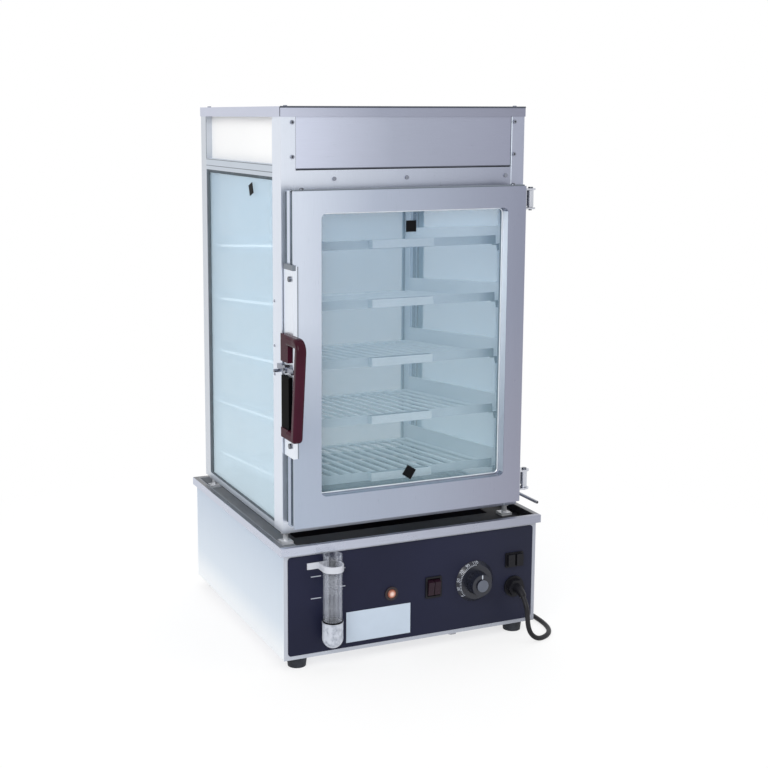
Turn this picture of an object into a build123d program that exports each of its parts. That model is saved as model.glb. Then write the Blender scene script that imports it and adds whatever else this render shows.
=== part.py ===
from build123d import *
import math
import os

# Steamed bun cabinet, in millimetres. The front faces -Y, +X is to the right, +Z is up.
# The origin is on the floor, under the middle of the cabinet without its lead.

# How far a cutting shape runs past the face that it opens
past = 1.0

# Base unit
lip_width = 430.0
lip_depth = 420.0
lip_top = 188.0
lip_overhang = 5.5
lip_skirt = 12.0
foot_height = 17.0
foot_top_radius = 15.5
foot_bottom_radius = 13.5
foot_inset_x = 27.5
foot_inset_y = 20.0
foot_recess_tall = 7.6
foot_recess_radius = 6.0
foot_screw_radius = 2.0
foot_screw_clearance = 0.2
foot_screw_head_radius = 4.0
foot_screw_head_thick = 3.0
sheet = 1.2
tray_turnup = 12.0
vent_count = 7
vent_length = 90.0
vent_width = 4.0
vent_pitch = 14.0

# Basin: a stepped channel round a deep well
hem_width = 8.0
channel_drop = 12.0
well_side_gap = 50.0
well_back_gap = 40.5
well_front_gap = 70.0
well_floor_lift = 23.0
heater_tube = 8.0
heater_lift = 22.0
heater_half_span = 42.0
heater_back_gap = 54.0
heater_bend = 24.0
heater_nut_flats = 19.0
heater_nut_thick = 6.0
heater_clearance = 0.2
heater_stub = 16.0

# Control panel on the base front
panel_side_gap = 6.0
panel_bottom_gap = 6.0
panel_top_gap = 16.0
panel_thick = 0.8
panel_corner = 5.0
control_height = 96.0
hole_clearance = 0.3
lamp_x = -39.0
lamp_bezel_radius = 10.5
lamp_lens_radius = 7.0
lamp_body_radius = 6.0
lamp_body_deep = 22.0
lamp_bezel_thick = 2.0
lamp_lens_proud = 4.0
lamp_lens_seat = 0.5
lamp_lens_fit = 0.1
lamp_lens_round = 2.4
switch_x = 31.5
switch_width = 27.0
switch_tall = 33.0
switch_flange = 2.0
switch_body_deep = 17.0
switch_body_inset = 2.3
switch_corner = 2.0
rocker_width = 9.6
rocker_gap = 1.0
rocker_back = 26.0
rocker_front = 21.0
rocker_deep = 9.0
rocker_proud = 3.2
rocker_tilt = 7.0
rocker_pivot_inset = 2.0
rocker_side_gap = 0.4
rocker_end_gap = 0.7
rocker_under_gap = 1.5
knob_x = 102.0
knob_skirt_radius = 32.0
knob_skirt_thick = 7.0
knob_skirt_bevel = 5.5
knob_grip_radius = 18.5
knob_grip_front_radius = 16.5
knob_grip_tall = 17.0
knob_cap_radius = 9.5
knob_cap_thick = 2.2
knob_flutes = 18
knob_flute_radius = 1.6
knob_flute_outset = 0.2
knob_flute_stop = 1.5
knob_gap = 0.6
knob_shaft_radius = 3.0
knob_bore_deep = 14.0
knob_shaft_behind_sheet = 8.0
knob_shaft_end_gap = 1.0
shaft_fit = 0.05
shaft_clearance = 1.0
thermostat_size = 44.0
thermostat_deep = 30.0
fuse_inset = 32.5
fuse_height = 121.0
fuse_width = 31.0
fuse_tall = 23.0
fuse_flange = 2.0
fuse_corner = 1.5
fuse_body_inset = 3.3
fuse_cap_width = 11.5
fuse_cap_tall = 19.0
fuse_cap_proud = 5.0
fuse_cap_gap = 3.2
fuse_cap_corner = 1.2
fuse_body_deep = 16.0
gland_inset = 32.5
gland_height = 78.0
gland_flange_radius = 16.5
gland_flange_thick = 3.0
gland_nut_flats = 24.0
gland_nut_thick = 8.0
gland_thread_radius = 9.0
gland_thread_deep = 12.0
gland_lock_flats = 26.0
gland_lock_thick = 5.0
boot_bend = 26.0
boot_turn = 45.0
boot_root_radius = 7.5
boot_tip_radius = 5.2
boot_sections = 5

# Sight gauge at the left of the panel
gauge_inset = 62.5
gauge_standoff = 17.5
gauge_radius = 14.0
gauge_wall = 2.0
gauge_lift = 16.0
gauge_tall = 109.0
gauge_ball_radius = 15.5
gauge_ball_height = 50.0
gauge_neck_radius = 7.0
gauge_neck_bore = 4.0
gauge_socket_deep = 6.0
gauge_seal_thick = 2.0
clip_drop = 24.0
clip_tall = 9.5
clip_wall = 1.8
clip_tab = 17.0
gauge_fit = 0.3
gauge_socket_wall = 1.0
gauge_seal_wall = 1.5
gauge_seal_fit = 0.1
clip_root = 2.9

# Drain under the front edge
drain_x = 72.0
drain_inset = 16.0
drain_height = 52.0
drain_radius = 5.0
drain_wall = 1.0
drain_bend = 12.0
plug_flats = 15.0
drain_plug_thick = 6.0
drain_plug_stem = 8.0
drain_plug_fit = 0.1
drain_hole_clearance = 0.5

# Cabinet on top of the base
cabinet_side_gap = 19.0
cabinet_back_gap = 14.5
cabinet_setback = 43.5
cabinet_lift = 8.0
cabinet_tall = 615.0
cover_sheet = 1.0
cover_flange = 14.5
post_width = 22.0
front_post_deep = 34.5
back_post_deep = 26.0
post_wall = 1.5
header_tall = 87.0
header_gap = 2.0
header_recess = 1.0
header_return = 10.0
header_back_recess = 1.0
front_rail_tall = 47.0
front_rail_deep = 20.0
side_rail_drop = 81.0
side_rail_tall = 18.0
side_rail_deep = 14.0
bottom_rail_tall = 9.0
front_sill_tall = 34.0
glass_thick = 4.0
glass_inset = 2.0
seal_width = 3.0
seal_proud = 0.8
opal_inset = 10.0
opal_thick = 2.0
ceiling_drop = 8.0
foot_pad_size = 18.0
foot_pad_thick = 4.0
foot_stem_radius = 4.0
foot_nut_flats = 13.0
foot_nut_thick = 5.0
screw_radius = 3.0
screw_head = 1.6
header_screw_inset = 17.0
header_screw_drops = (22.0, 70.0)
rail_screw_x = (-115.0, 0.0, 165.0)
rail_screw_drop = 12.5
cover_screw_inset = 11.0

# Racks: five wire shelves that slope down towards the back
rack_count = 5
rack_pitch = 87.5
top_rack_drop = 57.5
rack_slope = 5.0
rack_side_gap = 10.0
rack_front_gap = 24.0
rack_back_gap = 42.0
rack_lip_tall = 13.0
rack_lip_thick = 1.2
rack_rod_radius = 2.5
rack_rod_count = 15
rack_frame_radius = 3.0
rack_handle_width = 100.0
rack_handle_tall = 12.0
rack_handle_reach = 15.0
rack_handle_thick = 1.5
rail_leg = 15.0
rail_tall = 29.0
rail_thick = 1.5
rail_tab_width = 7.0
rail_tab_drop = 6.0
rail_front_gap = 2.3
rail_back_gap = 2.0
rack_seat_gap = 0.3

# Door
door_left_inset = 4.5
door_right_inset = 15.5
door_lift = 16.0
door_over_rail = 20.0
door_gap = 0.3
gasket_thick = 10.2
gasket_width = 14.0
gasket_inset = 2.0
door_thick = 25.0
skin_return = 4.5
reveal_width = 9.5
reveal_depth = 2.0
reveal_band = 6.0
window_left_frame = 42.0
window_right_frame = 30.0
window_bottom_frame = 43.5
window_top_frame = 31.5
window_corner = 8.0
window_return = 17.0
glass_lap = 6.0
hinge_inset = 3.0
hinge_behind_front = 9.0
hinge_pin_radius = 2.5
hinge_pin_over = 2.0
hinge_pin_head_radius = 3.7
hinge_barrel_radius = 4.5
hinge_fit = 0.05
top_hinge_drop = 19.5
bottom_hinge_lift = 32.0
hinge_tall = 31.0
hinge_ear_thick = 2.5
hinge_ear_radius = 7.5
hinge_leaf_thick = 2.0
hinge_leaf_front = 7.0
hinge_leaf_back = 13.0
hinge_gap = 0.5
post_leaf_thick = 2.5
post_leaf_reach = 30.0

# Handle and latch on the door's left edge
plate_sheet = 2.0
latch_plate_below = 128.0
latch_plate_above = 147.0
latch_plate_deep = 35.0
latch_plate_front_leg = 8.0
latch_screw_drop = 18.5
latch_screw_lift = 17.0
latch_screw_y = 9.0
latch_screw_radius = 4.0
latch_screw_head = 2.5
handle_below = 100.0
handle_above = 50.0
handle_arm = 14.0
handle_base_thick = 7.0
handle_base_front = 1.0
handle_base_back = 29.0
grip_width = 15.0
grip_thick = 14.0
grip_reach = 36.0
grip_round = 4.5
grip_corner = 18.0
grip_foot_corner = 8.0
grip_lean = 18.0
grip_clearance = 1.0
grip_outset = 3.5
cover_inset = 1.0
cover_gap = 0.3
lever_lift = 232.0
lever_slot = 21.0
lever_y = 15.0
lever_thick = 3.0
lever_half_tall = 3.5
lever_front = 31.0
lever_back = 31.0
lever_boss_radius = 6.0
lever_boss_proud = 1.5
lever_pin_radius = 2.0
lever_pin_over = 2.0
lever_pin_fit = 0.05
lever_side_gap = 0.5
lever_pad = 9.0
lever_pad_proud = 3.0
lever_pad_thick = 2.5
stud_radius = 2.5
stud_reach = 10.0
stud_gap = 0.5
stud_behind_front = 4.0

# Condensate pipe at the right
pipe_radius = 2.5
pipe_bore = 1.7
pipe_lift = 11.5
pipe_out = 14.0
pipe_back = 18.5
pipe_front = 4.0
pipe_bend = 8.0
pipe_depth_in_rail = 2.5
pipe_rise = 7.0

# Lead: its route is chosen by hand, and the length that is put away is a coil of two layers
cord_radius = 3.75
cord_route = [
    (171.2, -229.9, 50.6),
    (172.0, -231.2, 27.5),
    (178.5, -231.5, 12.8),
    (192.5, -230.0, 3.75),
    (212.5, -222.5, 3.75),
    (228.0, -205.0, 3.75),
    (235.5, -178.0, 3.75),
    (236.5, -140.0, 3.75),
    (233.0, -92.0, 3.75),
    (235.5, -38.0, 3.75),
    (240.0, 20.0, 3.75),
    (240.0, 80.0, 3.75),
    (236.0, 138.0, 3.75),
    (231.0, 188.0, 3.75),
    (219.0, 226.0, 3.75),
    (190.0, 247.0, 3.75),
]
cord_first_run = 12.0
cord_last_run = 48.0
arc_share = 0.45
coil_layer_turns = 1.75
coil_climb_turns = 0.5
coil_mid_radius = 42.0
coil_pitch = 9.4
coil_layer = 8.25
coil_x = 96.0
coil_clear = 22.0
coil_tail = 50.0
coil_steps = 4
coil_sample = 2.0
coil_skip = 30.0
plug_relief = 22.0
plug_relief_radius = 5.0
plug_neck_radius = 7.4
plug_length = 34.0
plug_half_width = 15.0
plug_half_tall = 12.0
plug_round = 5.0
pin_length = 17.0
pin_wide = 6.3
pin_thick = 1.6
pin_spread = 7.9
pin_row_rise = 3.0
pin_ground_drop = 6.0
pin_lean = 30.0

# Places worked out from the sizes above
lip_front = -(lip_depth - grip_reach) / 2
lip_back = lip_front + lip_depth
shell_front = lip_front + lip_overhang
shell_back = lip_back - lip_overhang
shell_half = lip_width / 2 - lip_overhang
lip_half = lip_width / 2
hem_inner = lip_half - hem_width
channel_floor = lip_top - channel_drop
well_front = shell_front + well_front_gap
well_back = lip_back - well_back_gap
well_width = lip_width - 2 * well_side_gap
well_floor = foot_height + well_floor_lift
heater_height = well_floor + heater_lift
panel_front = shell_front - panel_thick
panel_half = shell_half - panel_side_gap
panel_bottom = foot_height + panel_bottom_gap
panel_top = lip_top - panel_top_gap
fuse_x = panel_half - fuse_inset
gland_x = panel_half - gland_inset
case_front = lip_front + cabinet_setback
case_back = lip_back - cabinet_back_gap
case_half = lip_half - cabinet_side_gap
cabinet_bottom = lip_top + cabinet_lift
cabinet_top = cabinet_bottom + cabinet_tall
post_inner = case_half - post_width
front_post_back = case_front + front_post_deep
back_post_front = case_back - back_post_deep
post_top = cabinet_top - cover_sheet
header_top = cabinet_top - cover_flange
header_bottom = cabinet_top - header_tall
rail_top = header_bottom - header_gap
front_rail_bottom = rail_top - front_rail_tall
side_rail_top = cabinet_top - side_rail_drop
side_rail_bottom = side_rail_top - side_rail_tall
front_sill_top = cabinet_bottom + front_sill_tall
rail_screw_height = rail_top - rail_screw_drop
top_rack_height = front_rail_bottom - top_rack_drop
rack_half_width = post_inner - rack_side_gap
rack_length = case_back - case_front - rack_front_gap - rack_back_gap
door_left = door_left_inset - case_half
door_right = case_half - door_right_inset
door_bottom = cabinet_bottom + door_lift
door_top = front_rail_bottom + door_over_rail
window_left = door_left + window_left_frame
window_right = door_right - window_right_frame
window_bottom = door_bottom + window_bottom_frame
window_top = door_top - window_top_frame
glass_bottom = cabinet_bottom + bottom_rail_tall
gasket_back = case_front - door_gap
door_back = gasket_back - gasket_thick
door_front = door_back - door_thick
skin_back = door_front + skin_return
reveal_back = skin_back + reveal_width
glass_front = door_front + window_return
glass_back_face = glass_front + glass_thick
hinge_x = case_half - hinge_inset
hinge_y = door_front + hinge_behind_front
hinge_heights = (door_top - top_hinge_drop, door_bottom + bottom_hinge_lift)
gauge_x = gauge_inset - panel_half
gauge_y = panel_front - gauge_standoff
gauge_bottom = gauge_ball_height + gauge_lift
gauge_top = gauge_bottom + gauge_tall
clip_height = gauge_top - clip_drop
lever_height = door_bottom + lever_lift
latch_plate_bottom = lever_height - latch_plate_below
latch_plate_top = lever_height + latch_plate_above
latch_screw_heights = (latch_plate_top - latch_screw_drop, latch_plate_bottom + latch_screw_lift)
handle_bottom = lever_height - handle_below
handle_top = lever_height + handle_above
pipe_height = cabinet_bottom + pipe_lift
plate_face = door_left - plate_sheet
plate_front = door_front - plate_sheet
boot_start = panel_front - gland_flange_thick - gland_nut_thick
grip_front = lip_front - grip_reach


def block(x0, x1, y0, y1, z0, z1):
    """A plain block between two corners."""
    size = Box(x1 - x0, y1 - y0, z1 - z0)
    return Pos((x0 + x1) / 2, (y0 + y1) / 2, (z0 + z1) / 2) * size


def upright_ring(x0, x1, y0, y1, z0, z1, wall):
    """Four walls round an upright rectangle, open above and below."""
    inner = block(x0 + wall, x1 - wall, y0 + wall, y1 - wall, z0 - past, z1 + past)
    return block(x0, x1, y0, y1, z0, z1) - inner


def facing_ring(x0, x1, z0, z1, y0, y1, wall):
    """A picture frame that faces the front."""
    inner = block(x0 + wall, x1 - wall, y0 - past, y1 + past, z0 + wall, z1 - wall)
    return block(x0, x1, y0, y1, z0, z1) - inner


def rod_x(x0, x1, y, z, radius):
    """A round bar along X."""
    return Pos((x0 + x1) / 2, y, z) * Rot(0, 90, 0) * Cylinder(radius, x1 - x0)


def rod_y(x, y0, y1, z, radius):
    """A round bar along Y."""
    return Pos(x, (y0 + y1) / 2, z) * Rot(90, 0, 0) * Cylinder(radius, y1 - y0)


def rod_z(x, y, z0, z1, radius):
    """A round bar along Z."""
    return Pos(x, y, (z0 + z1) / 2) * Cylinder(radius, z1 - z0)


def hex_y(x, y0, y1, z, flats):
    """A hexagonal nut or bar along Y, given its size across the flats."""
    face = RegularPolygon(flats / 2, 6, major_radius=False)
    bar = extrude(face, y1 - y0)
    return Pos(x, y1, z) * Rot(90, 0, 0) * bar


def hex_z(x, y, z0, z1, flats):
    """A hexagonal nut or bar along Z, given its size across the flats."""
    face = RegularPolygon(flats / 2, 6, major_radius=False)
    return Pos(x, y, z0) * extrude(face, z1 - z0)


def tube_along(points, radii, radius):
    """A round bar that follows straight runs joined by arcs."""
    path = FilletPolyline(*points, radius=radii)
    start = Plane(origin=path @ 0, z_dir=path % 0)
    return sweep(start * Circle(radius), path=path)


def rounded_window(y0, y1, grow):
    """The door window's opening, as a block with rounded corners."""
    wide = window_right - window_left + 2 * grow
    tall = window_top - window_bottom + 2 * grow
    face = RectangleRounded(wide, tall, window_corner + grow)
    centre_x = (window_left + window_right) / 2
    centre_z = (window_bottom + window_top) / 2
    return Pos(centre_x, y1, centre_z) * Rot(90, 0, 0) * extrude(face, y1 - y0)


def group(solids):
    """Separate solids that share a node."""
    return Compound(children=list(solids))


def panel_holes():
    """What passes through the panel and the shell's front wall."""
    front = panel_front - past
    back = shell_front + sheet + past
    switch_half = switch_width / 2 - switch_body_inset + hole_clearance
    switch_tall_half = switch_tall / 2 - switch_body_inset + hole_clearance
    fuse_half = fuse_width / 2 - fuse_body_inset + hole_clearance
    fuse_tall_half = fuse_tall / 2 - fuse_body_inset + hole_clearance
    holes = rod_y(lamp_x, front, back, control_height, lamp_body_radius + hole_clearance)
    holes += block(switch_x - switch_half, switch_x + switch_half, front, back,
                   control_height - switch_tall_half, control_height + switch_tall_half)
    holes += rod_y(knob_x, front, back, control_height, knob_shaft_radius + shaft_clearance)
    holes += block(fuse_x - fuse_half, fuse_x + fuse_half, front, back,
                   fuse_height - fuse_tall_half, fuse_height + fuse_tall_half)
    holes += rod_y(gland_x, front, back, gland_height, gland_thread_radius + hole_clearance)
    holes += rod_y(gauge_x, front, back, gauge_ball_height, gauge_neck_radius + hole_clearance)
    return holes


# Base unit

def base_shell():
    walls = upright_ring(-shell_half, shell_half, shell_front, shell_back,
                         foot_height, lip_top - sheet, sheet)
    return walls - panel_holes()


def base_bottom_plate():
    half = shell_half - sheet
    front = shell_front + sheet
    back = shell_back - sheet
    floor = block(-half, half, front, back, foot_height, foot_height + sheet)
    rim = upright_ring(-half, half, front, back, foot_height, foot_height + tray_turnup, sheet)
    plate = floor + rim
    middle = (front + back) / 2
    for index in range(vent_count):
        y = middle + (index - (vent_count - 1) / 2) * vent_pitch
        plate -= block(-vent_length / 2, vent_length / 2, y - vent_width / 2, y + vent_width / 2,
                       foot_height - past, foot_height + sheet + past)
    plate -= rod_z(drain_x, shell_front + drain_inset, foot_height - past, foot_height + sheet + past,
                   drain_radius + drain_hole_clearance)
    return plate


def foot_places():
    for side in (-1, 1):
        for y in (shell_front + foot_inset_y, shell_back - foot_inset_y):
            yield side * (shell_half - foot_inset_x), y


def base_feet():
    feet = []
    for x, y in foot_places():
        body = Cone(foot_bottom_radius, foot_top_radius, foot_height)
        body = Pos(x, y, foot_height / 2) * body
        body -= rod_z(x, y, -past, foot_recess_tall, foot_recess_radius)
        body -= rod_z(x, y, -past, foot_height + past, foot_screw_radius + foot_screw_clearance)
        feet.append(body)
    return group(feet)


def base_fasteners():
    pieces = []
    for x, y in foot_places():
        head = rod_z(x, y, foot_recess_tall - foot_screw_head_thick, foot_recess_tall,
                     foot_screw_head_radius)
        stem = rod_z(x, y, foot_recess_tall, foot_height, foot_screw_radius)
        pieces.append(head + stem)
    for side in (-1, 1):
        x = side * heater_half_span
        outer = hex_y(x, well_front - heater_nut_thick, well_front, heater_height, heater_nut_flats)
        outer -= rod_y(x, well_front - heater_nut_thick - past, well_front + past, heater_height,
                       heater_tube / 2 + heater_clearance)
        pieces.append(outer)
    return group(pieces)


def control_panel():
    face = RectangleRounded(2 * panel_half, panel_top - panel_bottom, panel_corner)
    middle = (panel_top + panel_bottom) / 2
    plate = Pos(0, shell_front, middle) * Rot(90, 0, 0) * extrude(face, panel_thick)
    return plate - panel_holes()


def basin():
    inner_front = lip_front + hem_width
    inner_back = lip_back - hem_width
    top = block(-lip_half, lip_half, lip_front, lip_back, lip_top - sheet, lip_top)
    top -= block(-hem_inner + sheet, hem_inner - sheet, inner_front + sheet, inner_back - sheet,
                 lip_top - sheet - past, lip_top + past)
    skirt = upright_ring(-lip_half, lip_half, lip_front, lip_back, lip_top - lip_skirt, lip_top, sheet)
    wall = upright_ring(-hem_inner, hem_inner, inner_front, inner_back,
                        channel_floor - sheet, lip_top, sheet)
    floor = block(-hem_inner, hem_inner, inner_front, inner_back, channel_floor - sheet, channel_floor)
    half = well_width / 2
    floor -= block(-half + sheet, half - sheet, well_front + sheet, well_back - sheet,
                   channel_floor - sheet - past, channel_floor + past)
    well = upright_ring(-half, half, well_front, well_back, well_floor + sheet,
                        channel_floor - sheet, sheet)
    pan = block(-half, half, well_front, well_back, well_floor, well_floor + sheet)
    for side in (-1, 1):
        well -= rod_y(side * heater_half_span, well_front - past, well_front + sheet + past,
                      heater_height, heater_tube / 2 + heater_clearance)
    well -= rod_y(gauge_x, well_front - past, well_front + sheet + past, gauge_ball_height,
                  gauge_neck_bore)
    well -= rod_y(drain_x, well_front - past, well_front + sheet + past, drain_height,
                  drain_radius - drain_wall)
    return group([top + skirt + wall + floor, well, pan])


def heating_element():
    start = well_front - heater_stub
    end = well_back - heater_back_gap
    turn = heater_half_span
    points = [(-turn, start, heater_height), (-turn, end, heater_height),
              (turn, end, heater_height), (turn, start, heater_height)]
    return tube_along(points, [heater_bend, heater_bend], heater_tube / 2)


def drain_pipe():
    y = shell_front + drain_inset
    points = [(drain_x, well_front, drain_height), (drain_x, y, drain_height),
              (drain_x, y, foot_height + sheet)]
    outer = tube_along(points, [drain_bend], drain_radius)
    inner = tube_along(points, [drain_bend], drain_radius - drain_wall)
    return outer - inner


def drain_plug():
    y = shell_front + drain_inset
    head = hex_z(drain_x, y, foot_height - drain_plug_thick, foot_height, plug_flats)
    stem = rod_z(drain_x, y, foot_height, foot_height + sheet + drain_plug_stem,
                 drain_radius - drain_wall - drain_plug_fit)
    return head + stem


# Sight gauge

def gauge_elbow():
    ball = Pos(gauge_x, gauge_y, gauge_ball_height) * Sphere(gauge_ball_radius)
    neck = rod_y(gauge_x, gauge_y, well_front, gauge_ball_height, gauge_neck_radius)
    socket = rod_z(gauge_x, gauge_y, gauge_ball_height, gauge_bottom + gauge_socket_deep - gauge_fit,
                   gauge_radius + gauge_fit + gauge_socket_wall)
    body = ball + neck + socket
    body -= rod_z(gauge_x, gauge_y, gauge_bottom, gauge_bottom + gauge_socket_deep + past,
                  gauge_radius + gauge_fit)
    body -= rod_z(gauge_x, gauge_y, gauge_ball_height, gauge_bottom + past, gauge_neck_bore)
    body -= rod_y(gauge_x, gauge_y, well_front + past, gauge_ball_height, gauge_neck_bore)
    return body


def gauge_seal():
    low = gauge_bottom + gauge_socket_deep
    high = low + gauge_seal_thick
    inside = gauge_radius + gauge_seal_fit
    ring = rod_z(gauge_x, gauge_y, low, high, inside + gauge_seal_wall)
    return ring - rod_z(gauge_x, gauge_y, low - past, high + past, inside)


def gauge_tube():
    outer = rod_z(gauge_x, gauge_y, gauge_bottom, gauge_top, gauge_radius)
    return outer - rod_z(gauge_x, gauge_y, gauge_bottom - past, gauge_top + past,
                         gauge_radius - gauge_wall)


def gauge_clip():
    low = clip_height
    high = clip_height + clip_tall
    inside = gauge_radius + gauge_fit
    outside = inside + clip_wall
    tab_left = gauge_x - outside - clip_tab
    band = rod_z(gauge_x, gauge_y, low, high, outside)
    band += block(tab_left, gauge_x, panel_front - clip_wall, panel_front, low, high)
    band += block(gauge_x - outside, gauge_x - outside + clip_root, gauge_y, panel_front, low, high)
    return band - rod_z(gauge_x, gauge_y, low - past, high + past, inside)


# Controls

def indicator_lamp():
    bezel_front = panel_front - lamp_bezel_thick
    seat = panel_front - lamp_lens_seat
    bezel = rod_y(lamp_x, bezel_front, panel_front, control_height, lamp_bezel_radius)
    body = rod_y(lamp_x, panel_front, panel_front + lamp_body_deep, control_height, lamp_body_radius)
    shell = bezel + body
    shell -= rod_y(lamp_x, bezel_front - past, seat, control_height, lamp_lens_radius + lamp_lens_fit)
    lens = rod_y(lamp_x, panel_front - lamp_lens_proud, seat, control_height, lamp_lens_radius)
    lens = fillet(lens.edges().sort_by(Axis.Y)[0], lamp_lens_round)
    return group([shell, lens])


def switch_frame():
    half = switch_width / 2
    tall = switch_tall / 2
    front = panel_front - switch_flange
    flange = block(switch_x - half, switch_x + half, front, panel_front,
                   control_height - tall, control_height + tall)
    flange = fillet(flange.edges().filter_by(Axis.Y), switch_corner)
    body_half = half - switch_body_inset
    body_tall = tall - switch_body_inset
    body = block(switch_x - body_half, switch_x + body_half, panel_front,
                 panel_front + switch_body_deep, control_height - body_tall, control_height + body_tall)
    pocket_half = rocker_width + rocker_gap / 2 + rocker_side_gap
    pocket_tall = rocker_back / 2 + rocker_end_gap
    pocket = block(switch_x - pocket_half, switch_x + pocket_half, front - past,
                   panel_front + rocker_deep + rocker_under_gap, control_height - pocket_tall,
                   control_height + pocket_tall)
    return flange + body - pocket


def rocker(side):
    """One rocker, built in its off position, bottom pressed in."""
    x = switch_x + side * (rocker_width + rocker_gap) / 2
    front = -(switch_flange + rocker_proud)
    back = rocker_deep - switch_flange
    outline = Polyline((front, rocker_front / 2), (back, rocker_back / 2),
                       (back, -rocker_back / 2), (front, -rocker_front / 2), close=True)
    face = make_face(outline)
    bar = extrude(face, rocker_width)
    pivot = back - rocker_pivot_inset
    bar = Pos(-pivot, 0, 0) * bar
    # The sketch's X becomes Y and its Y becomes Z, and the bar runs along X.
    bar = Plane(origin=(-rocker_width / 2, 0, 0), x_dir=(0, 1, 0), z_dir=(1, 0, 0)) * bar
    return Pos(x, panel_front + pivot, control_height) * Rot(rocker_tilt, 0, 0) * bar


def thermostat_knob():
    back = panel_front - knob_gap
    skirt = Cone(knob_skirt_radius, knob_skirt_radius - knob_skirt_bevel, knob_skirt_thick)
    skirt = Pos(knob_x, back - knob_skirt_thick / 2, control_height) * Rot(90, 0, 0) * skirt
    grip = Cone(knob_grip_radius, knob_grip_front_radius, knob_grip_tall)
    grip_mid = back - knob_skirt_thick - knob_grip_tall / 2
    grip = Pos(knob_x, grip_mid, control_height) * Rot(90, 0, 0) * grip
    for index in range(knob_flutes):
        angle = 2 * math.pi * index / knob_flutes
        x = knob_x + (knob_grip_radius + knob_flute_outset) * math.cos(angle)
        z = control_height + (knob_grip_radius + knob_flute_outset) * math.sin(angle)
        grip -= rod_y(x, grip_mid - knob_grip_tall / 2 - past,
                      grip_mid + knob_grip_tall / 2 - knob_flute_stop, z, knob_flute_radius)
    face = back - knob_skirt_thick - knob_grip_tall
    cap = rod_y(knob_x, face - knob_cap_thick, face, control_height, knob_cap_radius)
    body = skirt + grip + cap
    body -= rod_y(knob_x, back - knob_bore_deep, back + past, control_height,
                  knob_shaft_radius + shaft_fit)
    shaft = rod_y(knob_x, back - knob_bore_deep, shell_front + sheet + knob_shaft_behind_sheet,
                  control_height, knob_shaft_radius)
    return group([body, shaft])


def thermostat_body():
    front = shell_front + sheet
    half = thermostat_size / 2
    body = block(knob_x - half, knob_x + half, front, front + thermostat_deep,
                 control_height - half, control_height + half)
    bore_end = front + knob_shaft_behind_sheet + knob_shaft_end_gap
    return body - rod_y(knob_x, front - past, bore_end, control_height, knob_shaft_radius + shaft_fit)


def fuse_holder():
    half = fuse_width / 2
    tall = fuse_tall / 2
    flange = block(fuse_x - half, fuse_x + half, panel_front - fuse_flange, panel_front,
                   fuse_height - tall, fuse_height + tall)
    flange = fillet(flange.edges().filter_by(Axis.Y), fuse_corner)
    body_half = half - fuse_body_inset
    body_tall = tall - fuse_body_inset
    body = block(fuse_x - body_half, fuse_x + body_half, panel_front, panel_front + fuse_body_deep,
                 fuse_height - body_tall, fuse_height + body_tall)
    holder = flange + body
    for side in (-1, 1):
        x = fuse_x + side * (fuse_cap_width + fuse_cap_gap) / 2
        front = panel_front - fuse_flange - fuse_cap_proud
        cap = block(x - fuse_cap_width / 2, x + fuse_cap_width / 2, front, panel_front - fuse_flange,
                    fuse_height - fuse_cap_tall / 2, fuse_height + fuse_cap_tall / 2)
        holder += fillet(cap.edges().filter_by(Axis.Y), fuse_cap_corner)
    return holder


def cable_gland():
    front = panel_front - gland_flange_thick
    flange = rod_y(gland_x, front, panel_front, gland_height, gland_flange_radius)
    thread = rod_y(gland_x, panel_front, shell_front + sheet + gland_thread_deep, gland_height,
                   gland_thread_radius)
    nut = hex_y(gland_x, front - gland_nut_thick, front, gland_height, gland_nut_flats)
    body = flange + thread + nut
    back = shell_front + sheet
    body += hex_y(gland_x, back, back + gland_lock_thick, gland_height, gland_lock_flats)
    sections = []
    for index in range(boot_sections):
        share = index / (boot_sections - 1)
        angle = math.radians(boot_turn) * share
        y = boot_start - boot_bend * math.sin(angle)
        z = gland_height - boot_bend * (1 - math.cos(angle))
        radius = boot_root_radius + (boot_tip_radius - boot_root_radius) * share
        plane = Plane(origin=(gland_x, y, z), z_dir=(0, -math.cos(angle), -math.sin(angle)),
                      x_dir=(1, 0, 0))
        sections.append(plane * Circle(radius))
    boot = loft(sections)
    return group([body, boot])


# Cabinet frame

def post(side, y0, y1):
    """A square tube with a closed lower end, which stands on a cabinet foot."""
    x0 = min(side * case_half, side * post_inner)
    x1 = max(side * case_half, side * post_inner)
    tube = upright_ring(x0, x1, y0, y1, cabinet_bottom, post_top, post_wall)
    return tube + block(x0, x1, y0, y1, cabinet_bottom, cabinet_bottom + post_wall)


def top_cover():
    half = case_half + cover_sheet
    top = block(-half, half, case_front - cover_sheet, case_back + cover_sheet,
                post_top, cabinet_top)
    flange = upright_ring(-half, half, case_front - cover_sheet, case_back + cover_sheet,
                          header_top, cabinet_top, cover_sheet)
    return top + flange


def pan_head_y(x, y, z):
    """A pan head screw seen from the front, its head standing on the face at y."""
    return rod_y(x, y - screw_head, y, z, screw_radius)


def cabinet_screws():
    pieces = []
    for side in (-1, 1):
        for drop in header_screw_drops:
            x = side * (case_half - header_screw_inset)
            pieces.append(pan_head_y(x, case_front, cabinet_top - drop))
        for y in (case_front + cover_screw_inset, case_back - cover_screw_inset):
            x = side * (case_half - cover_screw_inset)
            pieces.append(rod_z(x, y, cabinet_top, cabinet_top + screw_head, screw_radius))
    for x in rail_screw_x:
        pieces.append(pan_head_y(x, case_front, rail_screw_height))
    stud_y = case_front + stud_radius + stud_behind_front
    stud_z = lever_height - lever_half_tall - stud_gap - stud_radius
    pieces.append(rod_x(-case_half - stud_reach, -case_half, stud_y, stud_z, stud_radius))
    return group(pieces)


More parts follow.
